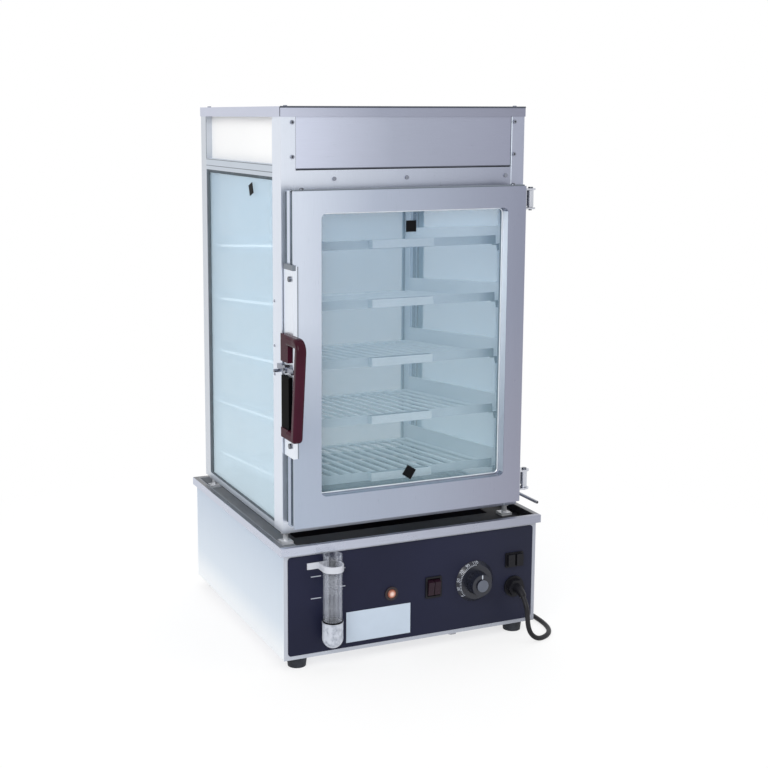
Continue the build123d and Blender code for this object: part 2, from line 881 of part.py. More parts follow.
def header_front_panel():
    front = case_front + header_recess
    plate = block(-post_inner, post_inner, front, front + sheet, header_bottom, header_top)
    plate += block(-post_inner, post_inner, front, front + header_return,
                   header_bottom, header_bottom + sheet)
    plate += block(-post_inner, post_inner, front, front + header_return,
                   header_top - sheet, header_top)
    return plate


def header_side_panels():
    panels = []
    for side in (-1, 1):
        outer = side * (case_half - opal_inset)
        inner = side * (case_half - opal_inset - opal_thick)
        panels.append(block(min(outer, inner), max(outer, inner), front_post_back, back_post_front,
                            side_rail_top, post_top))
    return group(panels)


def header_back_panel():
    back = case_back - header_back_recess
    return block(-post_inner, post_inner, back - sheet, back, side_rail_bottom, post_top)


def ceiling_panel():
    half = case_half - side_rail_deep
    top = side_rail_bottom + ceiling_drop
    plate = block(-half, half, case_front + front_rail_deep, case_back - front_rail_deep,
                  top - sheet, top)
    for side in (-1, 1):
        for y0, y1 in ((case_front, front_post_back), (back_post_front, case_back)):
            x0 = min(side * post_inner, side * case_half)
            x1 = max(side * post_inner, side * case_half)
            plate -= block(x0, x1, y0, y1, top - sheet - past, top + past)
    return plate


def front_top_rail():
    rail = block(-post_inner, post_inner, case_front, case_front + front_rail_deep,
                 front_rail_bottom, rail_top)
    rail -= block(-post_inner - past, post_inner + past, case_front + post_wall,
                  case_front + front_rail_deep - post_wall, front_rail_bottom + post_wall,
                  rail_top - post_wall)
    return rail


def side_bar(side, z0, z1):
    x0 = min(side * case_half, side * (case_half - side_rail_deep))
    x1 = max(side * case_half, side * (case_half - side_rail_deep))
    return block(x0, x1, front_post_back, back_post_front, z0, z1)


def upper_rails():
    rails = [side_bar(-1, side_rail_bottom, side_rail_top), side_bar(1, side_rail_bottom, side_rail_top)]
    rails.append(block(-post_inner, post_inner, case_back - front_rail_deep,
                       case_back - header_back_recess - sheet, side_rail_bottom, side_rail_top))
    return group(rails)


def bottom_rails():
    rails = [side_bar(-1, cabinet_bottom, glass_bottom), side_bar(1, cabinet_bottom, glass_bottom)]
    rails.append(block(-post_inner, post_inner, case_back - side_rail_deep, case_back,
                       cabinet_bottom, glass_bottom))
    rails[1] -= tube_along(pipe_points(), [pipe_bend], pipe_radius)
    return group(rails)


def front_sill():
    sill = block(-post_inner, post_inner, case_front, case_front + front_rail_deep,
                 cabinet_bottom, front_sill_top)
    sill -= block(-post_inner - past, post_inner + past, case_front + post_wall,
                  case_front + front_rail_deep - post_wall, cabinet_bottom + post_wall,
                  front_sill_top - post_wall)
    return sill


def side_glass(side):
    outer = side * (case_half - glass_inset)
    inner = side * (case_half - glass_inset - glass_thick)
    return block(min(outer, inner), max(outer, inner), front_post_back + seal_width,
                 back_post_front - seal_width, glass_bottom + seal_width,
                 side_rail_bottom - seal_width)


def glass_back():
    back = case_back - glass_inset
    return block(-post_inner + seal_width, post_inner - seal_width, back - glass_thick, back,
                 glass_bottom + seal_width, side_rail_bottom - seal_width)


def glass_seals():
    seals = []
    for side in (-1, 1):
        outer = side * (case_half - glass_inset + seal_proud)
        inner = side * (case_half - glass_inset - glass_thick - seal_proud)
        x0 = min(outer, inner)
        x1 = max(outer, inner)
        ring = block(x0, x1, front_post_back, back_post_front, glass_bottom, side_rail_bottom)
        ring -= block(x0 - past, x1 + past, front_post_back + seal_width, back_post_front - seal_width,
                      glass_bottom + seal_width, side_rail_bottom - seal_width)
        seals.append(ring)
    back = case_back - glass_inset + seal_proud
    seals.append(facing_ring(-post_inner, post_inner, glass_bottom, side_rail_bottom,
                             back - glass_thick - 2 * seal_proud, back, seal_width))
    return group(seals)


def cabinet_feet():
    feet = []
    for side in (-1, 1):
        for y in (case_front + front_post_deep / 2, case_back - back_post_deep / 2):
            x = side * (case_half - post_width / 2)
            pad = block(x - foot_pad_size / 2, x + foot_pad_size / 2, y - foot_pad_size / 2,
                        y + foot_pad_size / 2, channel_floor, channel_floor + foot_pad_thick)
            stem = rod_z(x, y, channel_floor + foot_pad_thick, cabinet_bottom, foot_stem_radius)
            nut = hex_z(x, y, cabinet_bottom - foot_nut_thick, cabinet_bottom, foot_nut_flats)
            feet.append(pad + stem + nut)
    return group(feet)


def pipe_y():
    return front_post_back + pipe_back


def pipe_points():
    """Out of the rail on a rising slant, then forwards."""
    x = case_half + pipe_out
    start = case_half - pipe_depth_in_rail
    slope = pipe_rise / pipe_out
    low = pipe_height - (x - start) * slope
    return [(start, pipe_y(), low), (x, pipe_y(), pipe_height),
            (x, lip_front + pipe_front, pipe_height)]


def condensate_pipe():
    outer = tube_along(pipe_points(), [pipe_bend], pipe_radius)
    return outer - tube_along(pipe_points(), [pipe_bend], pipe_bore)


# Racks

def rack_front_y():
    return case_front + rack_front_gap


def sloped(shape, front_z):
    """Tips a shape that was built level at height zero, about its front edge."""
    return Pos(0, rack_front_y(), front_z) * Rot(-rack_slope, 0, 0) * shape


def rack(index):
    """One wire shelf: a sheet lip with a pull, a rod frame and rods from front to back."""
    half = rack_half_width
    lip = block(-half, half, 0, rack_lip_thick, -rack_lip_tall, 0)
    low = -rack_lip_tall + rack_frame_radius
    shelf = lip
    for side in (-1, 1):
        x = side * (half - rack_frame_radius)
        shelf += rod_y(x, rack_lip_thick / 2, rack_length, low, rack_frame_radius)
    shelf += rod_x(-half, half, rack_length, low, rack_frame_radius)
    gap = 2 * (half - rack_frame_radius) / (rack_rod_count + 1)
    for number in range(1, rack_rod_count + 1):
        x = -half + rack_frame_radius + number * gap
        shelf += rod_y(x, rack_lip_thick / 2, rack_length, low, rack_rod_radius)
    pull = rack_handle_width / 2
    front = -rack_handle_reach
    shelf += block(-pull, pull, front, front + rack_handle_thick, -rack_handle_tall, 0)
    for side in (-1, 1):
        x0 = min(side * pull, side * (pull - rack_handle_thick))
        x1 = max(side * pull, side * (pull - rack_handle_thick))
        shelf += block(x0, x1, front, rack_lip_thick / 2, -rack_handle_tall, 0)
    return sloped(shelf, top_rack_height - index * rack_pitch)


def rack_rail(side, index):
    """An angle that carries one side of a rack, with a tab across its front end."""
    outer = post_inner
    inner = post_inner - rail_leg
    seat = -rack_lip_tall - rack_seat_gap
    low = seat - rail_thick
    end = back_post_front - rack_front_y() - rail_back_gap
    upright = block(outer - rail_thick, outer, rail_front_gap, end, low, low + rail_tall)
    ledge = block(inner, outer, rail_front_gap, end, low, seat)
    tab = block(outer - rail_tab_width, outer, rail_front_gap, rail_front_gap + rail_thick,
                low - rail_tab_drop, seat)
    bar = upright + ledge + tab
    if side < 0:
        bar = mirror(bar, about=Plane.YZ)
    return sloped(bar, top_rack_height - index * rack_pitch)


def rack_rails():
    return group([rack_rail(side, index) for side in (-1, 1) for index in range(rack_count)])


# Door

def door_skin():
    plate = block(door_left, door_right, door_front, door_front + sheet, door_bottom, door_top)
    edge = facing_ring(door_left, door_right, door_bottom, door_top, door_front, skin_back, sheet)
    collar = rounded_window(door_front, glass_front, sheet)
    return plate + edge + collar - rounded_window(door_front - past, glass_front + past, 0)


def door_inner_frame():
    plate = block(door_left, door_right, door_back - sheet, door_back, door_bottom, door_top)
    edge = facing_ring(door_left, door_right, door_bottom, door_top, reveal_back, door_back, sheet)
    front = facing_ring(door_left, door_right, door_bottom, door_top, reveal_back,
                        reveal_back + sheet, 2 * reveal_band)
    return plate + edge + front - rounded_window(door_back - sheet - past, door_back + past, 0)


def door_glass():
    return rounded_window(glass_front, glass_back_face, glass_lap)


def door_gasket():
    """The seal behind the door, the dark strip in its edge and the strip behind the glass."""
    seal = facing_ring(door_left + gasket_inset, door_right - gasket_inset,
                       door_bottom + gasket_inset, door_top - gasket_inset,
                       door_back, gasket_back, gasket_width)
    reveal = facing_ring(door_left + reveal_depth, door_right - reveal_depth,
                         door_bottom + reveal_depth, door_top - reveal_depth,
                         skin_back, reveal_back, reveal_band)
    bead = rounded_window(glass_back_face, door_back - sheet, glass_lap)
    bead -= rounded_window(glass_back_face - past, door_back, 0)
    return group([seal, reveal, bead])


def latch_plate():
    side_leg = block(plate_face, door_left, plate_front, plate_front + latch_plate_deep,
                     latch_plate_bottom, latch_plate_top)
    front_leg = block(plate_face, plate_face + latch_plate_front_leg, plate_front, door_front,
                      latch_plate_bottom, latch_plate_top)
    return side_leg + front_leg


def door_fasteners():
    pieces = []
    y = door_front + latch_screw_y
    for z in latch_screw_heights:
        pieces.append(rod_x(plate_face - latch_screw_head, plate_face, y, z, latch_screw_radius))
    pin_y = door_front + lever_y
    pin_left = plate_face - handle_base_thick - lever_pin_over
    pieces.append(rod_x(pin_left, plate_face, pin_y, lever_height, lever_pin_radius))
    return group(pieces)


def grip_loop(base_front):
    """The grip with its two arms: it leans towards the door at its lower end."""
    inner_top = handle_top - handle_arm
    inner_bottom = handle_bottom + handle_arm
    tall = handle_top - handle_bottom
    step = grip_lean * handle_arm / tall
    slant = Vector(grip_lean, tall).length
    start = grip_front - grip_corner * (grip_lean + slant - tall) / tall
    inner_front = start + grip_thick
    rim = Polyline((base_front, handle_top), (start, handle_top),
                   (start + grip_lean, handle_bottom), (base_front, handle_bottom), close=True)
    hole = Polyline((base_front, inner_top), (inner_front + step, inner_top),
                    (inner_front + grip_lean - step, inner_bottom), (base_front, inner_bottom),
                    close=True)
    face = make_face(rim)
    face = fillet(face.vertices().sort_by(Axis.X)[0], grip_corner)
    lowest = face.vertices().group_by(Axis.Y)[0]
    face = fillet(lowest.sort_by(Axis.X)[0], grip_foot_corner)
    face -= make_face(hole)
    loop = extrude(Plane.YZ * face, grip_width)
    sides = loop.edges().group_by(Axis.X)
    edges = [edge for edge in sides[0] + sides[-1] if edge.center().Y < base_front - past]
    return fillet(edges, grip_round)


def door_handle():
    outer = plate_face - handle_base_thick
    base_front = door_front + handle_base_front
    base_back = door_front + handle_base_back
    base = block(outer, plate_face, base_front, base_back, handle_bottom, handle_top)
    base -= block(outer - past, plate_face + past, base_front - past, base_back + past,
                  handle_bottom + handle_arm, lever_height + lever_slot / 2)
    grip_x0 = outer - grip_outset
    loop = Pos(grip_x0, 0, 0) * grip_loop(base_front)
    loop -= block(plate_face, grip_x0 + grip_width + past, plate_front - grip_clearance,
                  base_front + past, handle_bottom - past, handle_top + past)
    return base + loop


def latch_cover():
    outer = plate_face - handle_base_thick + cover_inset
    low = handle_bottom + handle_arm + cover_gap
    high = lever_height - lever_slot / 2
    return block(outer, plate_face, door_front + handle_base_front, door_front + handle_base_back,
                 low, high)


def latch_lever():
    """A metal lever on a cross pin: a finger pad in front, an arm over the stud behind."""
    y = door_front + lever_y
    x1 = -case_half - lever_side_gap
    x0 = x1 - lever_thick
    arm = block(x0, x1, y - lever_front, y + lever_back, lever_height - lever_half_tall,
                lever_height + lever_half_tall)
    boss = rod_x(x0 - lever_boss_proud, plate_face - lever_side_gap, y, lever_height,
                 lever_boss_radius)
    low = lever_height - lever_half_tall
    pad_left = x0 - lever_pad_proud
    pad_right = x1 + lever_pad_proud
    pad = block(pad_left, pad_right, y - lever_front, y - lever_front + lever_pad,
                low, low + lever_pad_thick)
    body = arm + boss + pad
    return body - rod_x(pad_left, pad_right, y, lever_height, lever_pin_radius + lever_pin_fit)


def door_hinge(z):
    """A leaf on the door's edge with two ears that hold the pin."""
    low = z - hinge_tall / 2
    high = z + hinge_tall / 2
    body = block(door_right, door_right + hinge_leaf_thick, hinge_y - hinge_leaf_front,
                 hinge_y + hinge_leaf_back, low, high)
    for z0 in (low, high - hinge_ear_thick):
        ear = block(door_right, hinge_x, hinge_y - hinge_ear_radius, hinge_y + hinge_ear_radius,
                    z0, z0 + hinge_ear_thick)
        ear += rod_z(hinge_x, hinge_y, z0, z0 + hinge_ear_thick, hinge_ear_radius)
        body += ear
    return body - rod_z(hinge_x, hinge_y, low - past, high + past, hinge_pin_radius)


def post_hinge(z):
    """A barrel between the ears, on a leaf that runs back along the post's side."""
    low = z - hinge_tall / 2 + hinge_ear_thick + hinge_gap
    high = z + hinge_tall / 2 - hinge_ear_thick - hinge_gap
    barrel = rod_z(hinge_x, hinge_y, low, high, hinge_barrel_radius)
    leaf = block(case_half, case_half + post_leaf_thick, hinge_y, case_front + post_leaf_reach,
                 low, high)
    body = barrel + leaf
    return body - rod_z(hinge_x, hinge_y, low - past, high + past, hinge_pin_radius + hinge_fit)


def hinge_pins():
    pins = []
    for z in hinge_heights:
        low = z - hinge_tall / 2 - hinge_pin_over
        high = z + hinge_tall / 2
        pin = rod_z(hinge_x, hinge_y, low, high, hinge_pin_radius)
        pin += rod_z(hinge_x, hinge_y, high, high + hinge_pin_over, hinge_pin_head_radius)
        pins.append(pin)
    return group(pins)


# Lead

def turn_radii(points):
    """The largest arc for each corner: a share of its shorter run, over the half turn's tangent."""
    radii = []
    for before, corner, after in zip(points, points[1:], points[2:]):
        first = Vector(*corner) - Vector(*before)
        second = Vector(*after) - Vector(*corner)
        half_turn = math.radians(first.get_angle(second)) / 2
        radii.append(arc_share * min(first.length, second.length) / math.tan(half_turn))
    return radii


def coil_centre():
    reach = coil_outer_radius() + cord_radius
    return coil_x, lip_back + coil_clear + reach


def coil_outer_radius():
    return coil_mid_radius + coil_pitch * coil_layer_turns / 2


def cord_points():
    centre_x, centre_y = coil_centre()
    y = centre_y - coil_outer_radius()
    meet = coil_x + 2 * cord_radius
    end = [(meet + cord_last_run, y, cord_radius), (meet, y, cord_radius)]
    turn = math.radians(boot_turn)
    start_y = boot_start - boot_bend * math.sin(turn)
    start_z = gland_height - boot_bend * (1 - math.cos(turn))
    first = (gland_x, start_y - cord_first_run * math.cos(turn),
             start_z - cord_first_run * math.sin(turn))
    return [(gland_x, start_y, start_z), first] + cord_route + end


def power_cord():
    points = cord_points()
    radii = turn_radii(points)
    print("lead radii", [round(radius, 1) for radius in radii])
    path = FilletPolyline(*points, radius=radii)
    tube = tube_along(points, radii, cord_radius)
    share = tube.volume / (math.pi * cord_radius ** 2 * path.length)
    print("lead length", round(path.length, 1), "volume share", round(share, 4))
    return tube


def coil_state(turns):
    """Where the coil's line is after so many turns, and the way that it runs."""
    outer = coil_outer_radius()
    inner = outer - coil_pitch * coil_layer_turns
    slope = 0.0
    rise = 0.0
    climbed = turns - coil_layer_turns
    if climbed <= 0:
        radius = outer - coil_pitch * turns
        slope = -coil_pitch
        height = 0.0
    elif climbed < coil_climb_turns:
        radius = inner
        share = climbed / coil_climb_turns
        height = coil_layer * (1 - math.cos(math.pi * share)) / 2
        rise = coil_layer * math.pi * math.sin(math.pi * share) / 2 / coil_climb_turns
    else:
        radius = inner + coil_pitch * (climbed - coil_climb_turns)
        slope = coil_pitch
        height = coil_layer
    if turns == 0 or turns == coil_turns():
        slope = 0.0
    angle = -math.pi / 2 - 2 * math.pi * turns
    centre_x, centre_y = coil_centre()
    place = Vector(centre_x + radius * math.cos(angle), centre_y + radius * math.sin(angle),
                   cord_radius + height)
    round_speed = 2 * math.pi * radius
    way = Vector(math.sin(angle) * round_speed + math.cos(angle) * slope,
                 -math.cos(angle) * round_speed + math.sin(angle) * slope, rise)
    return place, way.normalized()


def coil_turns():
    return 2 * coil_layer_turns + coil_climb_turns


def biarc(place, way, next_place, next_way):
    """Two arcs that meet smoothly, between two points with given directions."""
    apart = next_place - place
    both = way + next_way
    a = both.dot(both) - 4
    b = -2 * apart.dot(both)
    c = apart.dot(apart)
    reach = (-b - math.sqrt(b * b - 4 * a * c)) / (2 * a)
    first = place + way * reach
    second = next_place - next_way * reach
    middle = (first + second) * 0.5
    return [Edge.make_tangent_arc(place, way, middle),
            Edge.make_tangent_arc(middle, (second - first).normalized(), next_place)]


def coil_path():
    count = round(coil_turns() * coil_steps)
    states = [coil_state(step / coil_steps) for step in range(count + 1)]
    place, way = states[0]
    edges = [Edge.make_line(place - way * 2 * cord_radius, place)]
    for before, after in zip(states, states[1:]):
        edges += biarc(*before, *after)
    place, way = states[-1]
    edges.append(Edge.make_line(place, place + way * coil_tail))
    return Wire(edges)


def cord_coil():
    path = coil_path()
    length = path.length
    count = int(length / coil_sample)
    points = [path.position_at(index / count) for index in range(count + 1)]
    skip = int(coil_skip / coil_sample)
    gaps = []
    for index, point in enumerate(points):
        for other in points[index + skip:]:
            gaps.append((point - other).length)
    print("coil length", round(length, 1), "least gap", round(min(gaps) - 2 * cord_radius, 2))
    section = Plane(origin=path.position_at(0), z_dir=path.tangent_at(0)) * Circle(cord_radius)
    return sweep(section, path=path)


def plug_start():
    place, way = coil_state(coil_turns())
    return place + way * coil_tail


def plug_body():
    start = plug_start()
    relief = Cone(plug_neck_radius, plug_relief_radius, plug_relief)
    relief = Pos(start.X - plug_relief / 2, start.Y, start.Z) * Rot(0, 90, 0) * relief
    block_end = start.X - plug_relief - plug_length
    body = block(block_end, start.X - plug_relief, start.Y - plug_half_width, start.Y + plug_half_width,
                 start.Z - plug_half_tall, start.Z + plug_half_tall)
    body = fillet(body.edges().filter_by(Axis.X), plug_round)
    return body + relief


def plug_pins():
    start = plug_start()
    face = start.X - plug_relief - plug_length
    live = Box(pin_length, pin_thick, pin_wide)
    pins = []
    middle = face - pin_length / 2
    for side in (-1, 1):
        place = Pos(middle, start.Y + side * pin_spread, start.Z + pin_row_rise)
        pins.append(place * Rot(-side * pin_lean, 0, 0) * live)
    pins.append(Pos(middle, start.Y, start.Z - pin_ground_drop) * live)
    return group(pins)


def build():
    parts = {
        "base_shell": base_shell(),
        "base_bottom_plate": base_bottom_plate(),
        "base_feet": base_feet(),
        "base_fasteners": base_fasteners(),
        "control_panel": control_panel(),
        "basin": basin(),
        "heating_element": heating_element(),
        "drain_pipe": group([drain_pipe(), drain_plug()]),
        "gauge_elbow": group([gauge_elbow(), gauge_seal()]),
        "gauge_tube": gauge_tube(),
        "gauge_clip": gauge_clip(),
        "indicator_lamp": indicator_lamp(),
        "switch_frame": switch_frame(),
        "rocker_left": rocker(-1),
        "rocker_right": rocker(1),
        "thermostat_knob": thermostat_knob(),
        "thermostat_body": thermostat_body(),
        "fuse_holder": fuse_holder(),
        "cable_gland": cable_gland(),
        "front_post_left": post(-1, case_front, front_post_back),
        "front_post_right": post(1, case_front, front_post_back),
        "back_posts": group([post(side, back_post_front, case_back) for side in (-1, 1)]),
        "top_cover": top_cover(),
        "cabinet_screws": cabinet_screws(),
        "header_front_panel": header_front_panel(),
        "header_side_panels": header_side_panels(),
        "header_back_panel": header_back_panel(),
        "ceiling_panel": ceiling_panel(),
        "front_top_rail": front_top_rail(),
        "front_sill": front_sill(),
        "upper_rails": upper_rails(),
        "bottom_rails": bottom_rails(),
        "glass_left": side_glass(-1),
        "glass_right": side_glass(1),
        "glass_back": glass_back(),
        "glass_seals": glass_seals(),
        "cabinet_feet": cabinet_feet(),
        "condensate_pipe": condensate_pipe(),
        "rack_rails": rack_rails(),
        "door_skin": door_skin(),
        "door_inner_frame": door_inner_frame(),
        "door_glass": door_glass(),
        "door_gasket": door_gasket(),
        "latch_plate": latch_plate(),
        "door_fasteners": door_fasteners(),
        "door_handle": door_handle(),
        "latch_cover": latch_cover(),
        "latch_lever": latch_lever(),
        "door_hinges": group([door_hinge(z) for z in hinge_heights]),
        "post_hinges": group([post_hinge(z) for z in hinge_heights]),
        "hinge_pins": hinge_pins(),
        "power_cord": power_cord(),
        "cord_coil": cord_coil(),
        "plug_body": plug_body(),
        "plug_pins": plug_pins(),
    }
    for index in range(rack_count):
        parts["rack_%d" % (index + 1)] = rack(index)
    return parts


os.makedirs("parts", exist_ok=True)
for name, shape in build().items():
    export_step(shape, "parts/" + name + ".step")
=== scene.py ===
import math

import bmesh
import bpy
from mathutils import Matrix, Vector


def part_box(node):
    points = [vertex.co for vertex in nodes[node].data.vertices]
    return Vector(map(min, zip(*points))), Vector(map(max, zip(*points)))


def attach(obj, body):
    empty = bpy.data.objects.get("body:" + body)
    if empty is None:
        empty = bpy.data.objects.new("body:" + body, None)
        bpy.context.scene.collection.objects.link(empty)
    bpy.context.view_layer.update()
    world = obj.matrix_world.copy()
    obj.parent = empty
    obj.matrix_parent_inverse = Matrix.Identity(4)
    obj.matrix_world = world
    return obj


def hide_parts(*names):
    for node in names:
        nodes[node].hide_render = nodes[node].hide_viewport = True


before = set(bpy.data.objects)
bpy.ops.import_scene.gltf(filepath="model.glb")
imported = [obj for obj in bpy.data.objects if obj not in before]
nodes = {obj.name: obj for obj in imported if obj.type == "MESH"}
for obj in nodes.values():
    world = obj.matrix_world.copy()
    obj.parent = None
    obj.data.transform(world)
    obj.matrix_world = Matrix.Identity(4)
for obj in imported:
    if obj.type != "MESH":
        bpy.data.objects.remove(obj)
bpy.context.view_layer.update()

scene = bpy.context.scene
mm = 0.001


# Places that several pieces share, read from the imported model

def boxCentre(name):
    low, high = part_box(name)
    return (low + high) / 2


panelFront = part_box("control_panel")[0].y
doorLow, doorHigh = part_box("door_skin")
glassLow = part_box("door_glass")[0]
postLow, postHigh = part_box("front_post_left")
coverLow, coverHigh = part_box("top_cover")
doorWindow = {"low": (-0.1495, 0.2555), "high": (0.1505, 0.6635)}       # x and z of the opening's corners


# Camera

cameraSettings = {
    "place": (-0.8731, -1.9087, 0.7998),
    "turnRight": 23.01,
    "lookDown": 8.96,
    "lens": 62.92,
    "shift": (0.0738, -0.0755),
}


def makeCamera(s):
    data = bpy.data.cameras.new("photoCamera")
    data.sensor_width = 36.0
    data.lens = s["lens"]
    data.shift_x, data.shift_y = s["shift"]
    data.clip_end = 50.0
    camera = bpy.data.objects.new("photoCamera", data)
    camera.location = s["place"]
    camera.rotation_euler = (math.radians(90 - s["lookDown"]), 0, math.radians(-s["turnRight"]))
    scene.collection.objects.link(camera)
    scene.camera = camera


makeCamera(cameraSettings)
print("camera set")


# Shader maths as plain expressions

def colour(value):
    if isinstance(value, (tuple, list)) and len(value) == 3:
        return (*value, 1.0)
    return value


def operator(operation, swapped=False):
    def apply(self, other):
        values = (other, self) if swapped else (self, other)
        return self.finish.node("ShaderNodeMath", {"operation": operation}, dict(enumerate(values)))
    return apply


class Wire:
    def __init__(self, finish, socket):
        self.finish = finish
        self.socket = socket

    __add__ = operator("ADD")
    __radd__ = operator("ADD", True)
    __sub__ = operator("SUBTRACT")
    __rsub__ = operator("SUBTRACT", True)
    __mul__ = operator("MULTIPLY")
    __rmul__ = operator("MULTIPLY", True)
    __truediv__ = operator("DIVIDE")
    __rtruediv__ = operator("DIVIDE", True)
    __pow__ = operator("POWER")
    __rpow__ = operator("POWER", True)
    __gt__ = operator("GREATER_THAN")
    __lt__ = operator("LESS_THAN")


class Finish:
    def __init__(self, name, world=None):
        self.owner = world or bpy.data.materials.new(name)
        self.owner.use_nodes = True
        self.tree = self.owner.node_tree
        self.tree.nodes.clear()

    def node(self, kind, settings=None, sockets=None, output=0):
        made = self.tree.nodes.new(kind)
        for name, value in (settings or {}).items():
            if name == "stops":
                self.fillRamp(made.color_ramp, value)
            else:
                setattr(made, name, value)
        for name, value in (sockets or {}).items():
            if isinstance(value, Wire):
                self.tree.links.new(value.socket, made.inputs[name])
            else:
                made.inputs[name].default_value = value
        return Wire(self, made.outputs[output]) if len(made.outputs) else made

    def fillRamp(self, ramp, stops):
        while len(ramp.elements) < len(stops):
            ramp.elements.new(1.0)
        for element, (place, color) in zip(ramp.elements, stops):
            element.position = place
            element.color = (*color, 1.0)

    def axes(self):
        here = self.node("ShaderNodeTexCoord", output="Object")
        split = self.node("ShaderNodeSeparateXYZ", {}, {0: here})
        outputs = split.socket.node.outputs
        return [Wire(self, outputs[index]) for index in range(3)]

    def noise(self, scale, size, detail=3.0):
        here = self.node("ShaderNodeTexCoord", output="Object")
        place = self.node("ShaderNodeMapping", {}, {"Vector": here, "Scale": scale})
        return self.node("ShaderNodeTexNoise", {}, {"Vector": place, "Scale": size, "Detail": detail})

    def ramp(self, value, *stops):
        return self.node("ShaderNodeValToRGB", {"stops": stops}, {0: value})

    def blend(self, factor, first, second, mode="MIX"):
        return self.node("ShaderNodeMix", {"data_type": "RGBA", "blend_type": mode}, {
            0: factor, 6: colour(first), 7: colour(second)}, output=2)

    def shade(self, tint, pattern, lowest):
        # darkens a colour a little where the pattern is low
        grey = self.ramp(pattern, (0.3, (lowest, lowest, lowest)), (0.7, (1, 1, 1)))
        return self.blend(1.0, tint, grey, "MULTIPLY")

    def bump(self, height, strength, distance):
        return self.node("ShaderNodeBump", {}, {
            "Height": height, "Strength": strength, "Distance": distance})

    def clamp(self, value):
        return self.node("ShaderNodeClamp", {}, {0: value})

    def surface(self, **sockets):
        self.close(self.node("ShaderNodeBsdfPrincipled", {}, {
            name.replace("_", " "): colour(value) for name, value in sockets.items()}))
        return self.owner

    def close(self, shader):
        self.node("ShaderNodeOutputMaterial", {}, {"Surface": shader})


# Finishes

steelReach = {"left": -0.215, "right": 0.215}


def acrossShare(f, x):
    # 0 at the lit left side of the cabinet and 1 at its right side
    return f.clamp((x - steelReach["left"]) / (steelReach["right"] - steelReach["left"]))


def brushed(f, grain):
    # grain is 1 across the brushing and small along it
    return f.noise(grain, 1800.0, 2.0)


def steelSurface(f, tone, streaks, metallic):
    clouds = f.noise((1, 1, 0.5), 5.0)
    tone = f.shade(f.shade(tone, streaks, 0.965), clouds, 0.95)
    return f.surface(Base_Color=tone, Metallic=metallic, Roughness=streaks * 0.1 + 0.25,
                     Normal=f.bump(streaks, 0.05, 0.0002))


def steelFinish(name, light, middle, dark, grain=(1, 1, 0.02), turning=0.35, pale=None, lines=()):
    # pale is a stretch of x that faces the lit side and gets a painted highlight, lines are stretches of
    # x where the shade in the folds is painted dark
    f = Finish(name)
    x, y, z = f.axes()
    streaks = brushed(f, grain)
    # painted light and shade: the tone runs from light on the lit left side to dark on the right
    tone = f.ramp(acrossShare(f, x), (0.04, light), (turning, middle), (0.96, dark))
    metallic = 0.85
    # painted highlight on the stretch that faces the lit side
    if pale:
        near = (x > pale[0]) * (x < pale[1])
        tone = f.blend(near, tone, (0.74, 0.82, 0.92))
        metallic = 0.85 - near * 0.7
    # painted shade in the folds
    for start, end in lines:
        tone = f.blend((x > start) * (x < end), tone, (0.09, 0.12, 0.17))
    return steelSurface(f, tone, streaks, metallic)


def plainSteel(name, tint, grain=(1, 1, 1), roughness=0.25, metallic=0.9):
    f = Finish(name)
    streaks = brushed(f, grain)
    clouds = f.noise((1, 1, 1), 40.0)
    tone = f.shade(f.shade(tint, streaks, 0.93), clouds, 0.88)
    return f.surface(Base_Color=tone, Metallic=metallic, Roughness=streaks * 0.12 + roughness - 0.06,
                     Normal=f.bump(clouds, 0.05, 0.0002))


def doorSteel():
    # painted light and shade: lighter on the lit left and darker to the right, the tall left side of the
    # door darker towards the floor as painted shade, and the collar on the window's right edge pale as a
    # painted highlight
    f = Finish("doorSteel")
    x, y, z = f.axes()
    streaks = brushed(f, (1, 1, 0.02))
    up = f.clamp((z - doorLow.z) / (doorHigh.z - doorLow.z))
    # painted light and shade: lighter on the lit left, darker to the right
    upper = f.ramp(acrossShare(f, x), (0.08, (0.66, 0.72, 0.83)), (0.35, (0.44, 0.49, 0.60)),
                   (0.90, (0.285, 0.305, 0.395)))
    lower = f.ramp(acrossShare(f, x), (0.08, (0.42, 0.48, 0.59)), (0.50, (0.38, 0.42, 0.52)),
                   (0.90, (0.30, 0.31, 0.39)))
    # painted shade: darker towards the floor
    tone = f.blend(f.ramp(up, (0.30, (0, 0, 0)), (0.62, (1, 1, 1))), lower, upper)
    low, high = doorWindow["low"], doorWindow["high"]
    fold = 0.6 * mm
    play = 0.4 * mm
    collarHighlight = (x > high[0] - play) * (x < high[0] + fold) * (z > low[1]) * (z < high[1])
    collarHighlight = collarHighlight * (y > doorLow.y + fold)
    rise = f.clamp((z - low[1]) / (high[1] - low[1]))
    # painted highlight on the collar, fading lower down
    tone = f.blend(collarHighlight, tone, f.ramp(rise, (0.2, (0.42, 0.47, 0.55)), (0.75, (0.80, 0.86, 0.94))))
    return steelSurface(f, tone, streaks, 0.85 - collarHighlight * 0.75)


def plasticFinish(name, tint, roughness, gloss, fleck=0.88):
    f = Finish(name)
    fine = f.noise((1, 1, 1), 700.0, 2.0)
    broad = f.noise((1, 1, 1), 25.0)
    return f.surface(Base_Color=f.shade(tint, broad, fleck), Roughness=broad * 0.1 + roughness - 0.05,
                     Specular_IOR_Level=gloss, Normal=f.bump(fine, 0.05, 0.0002))


def rubberFinish(name, tint, roughness=0.6):
    f = Finish(name)
    dust = f.noise((1, 1, 1), 60.0, 4.0)
    fine = f.noise((1, 1, 1), 900.0, 2.0)
    pale = tuple(value * 1.9 + 0.01 for value in tint)
    return f.surface(Base_Color=f.ramp(dust, (0.4, tint), (0.85, pale)), Specular_IOR_Level=0.25,
                     Roughness=dust * 0.2 + roughness - 0.1, Normal=f.bump(fine, 0.12, 0.0003))


def seeThrough(f, **sockets):
    material = f.surface(Specular_IOR_Level=0.5, **sockets)
    material.surface_render_method = "BLENDED"
    return material


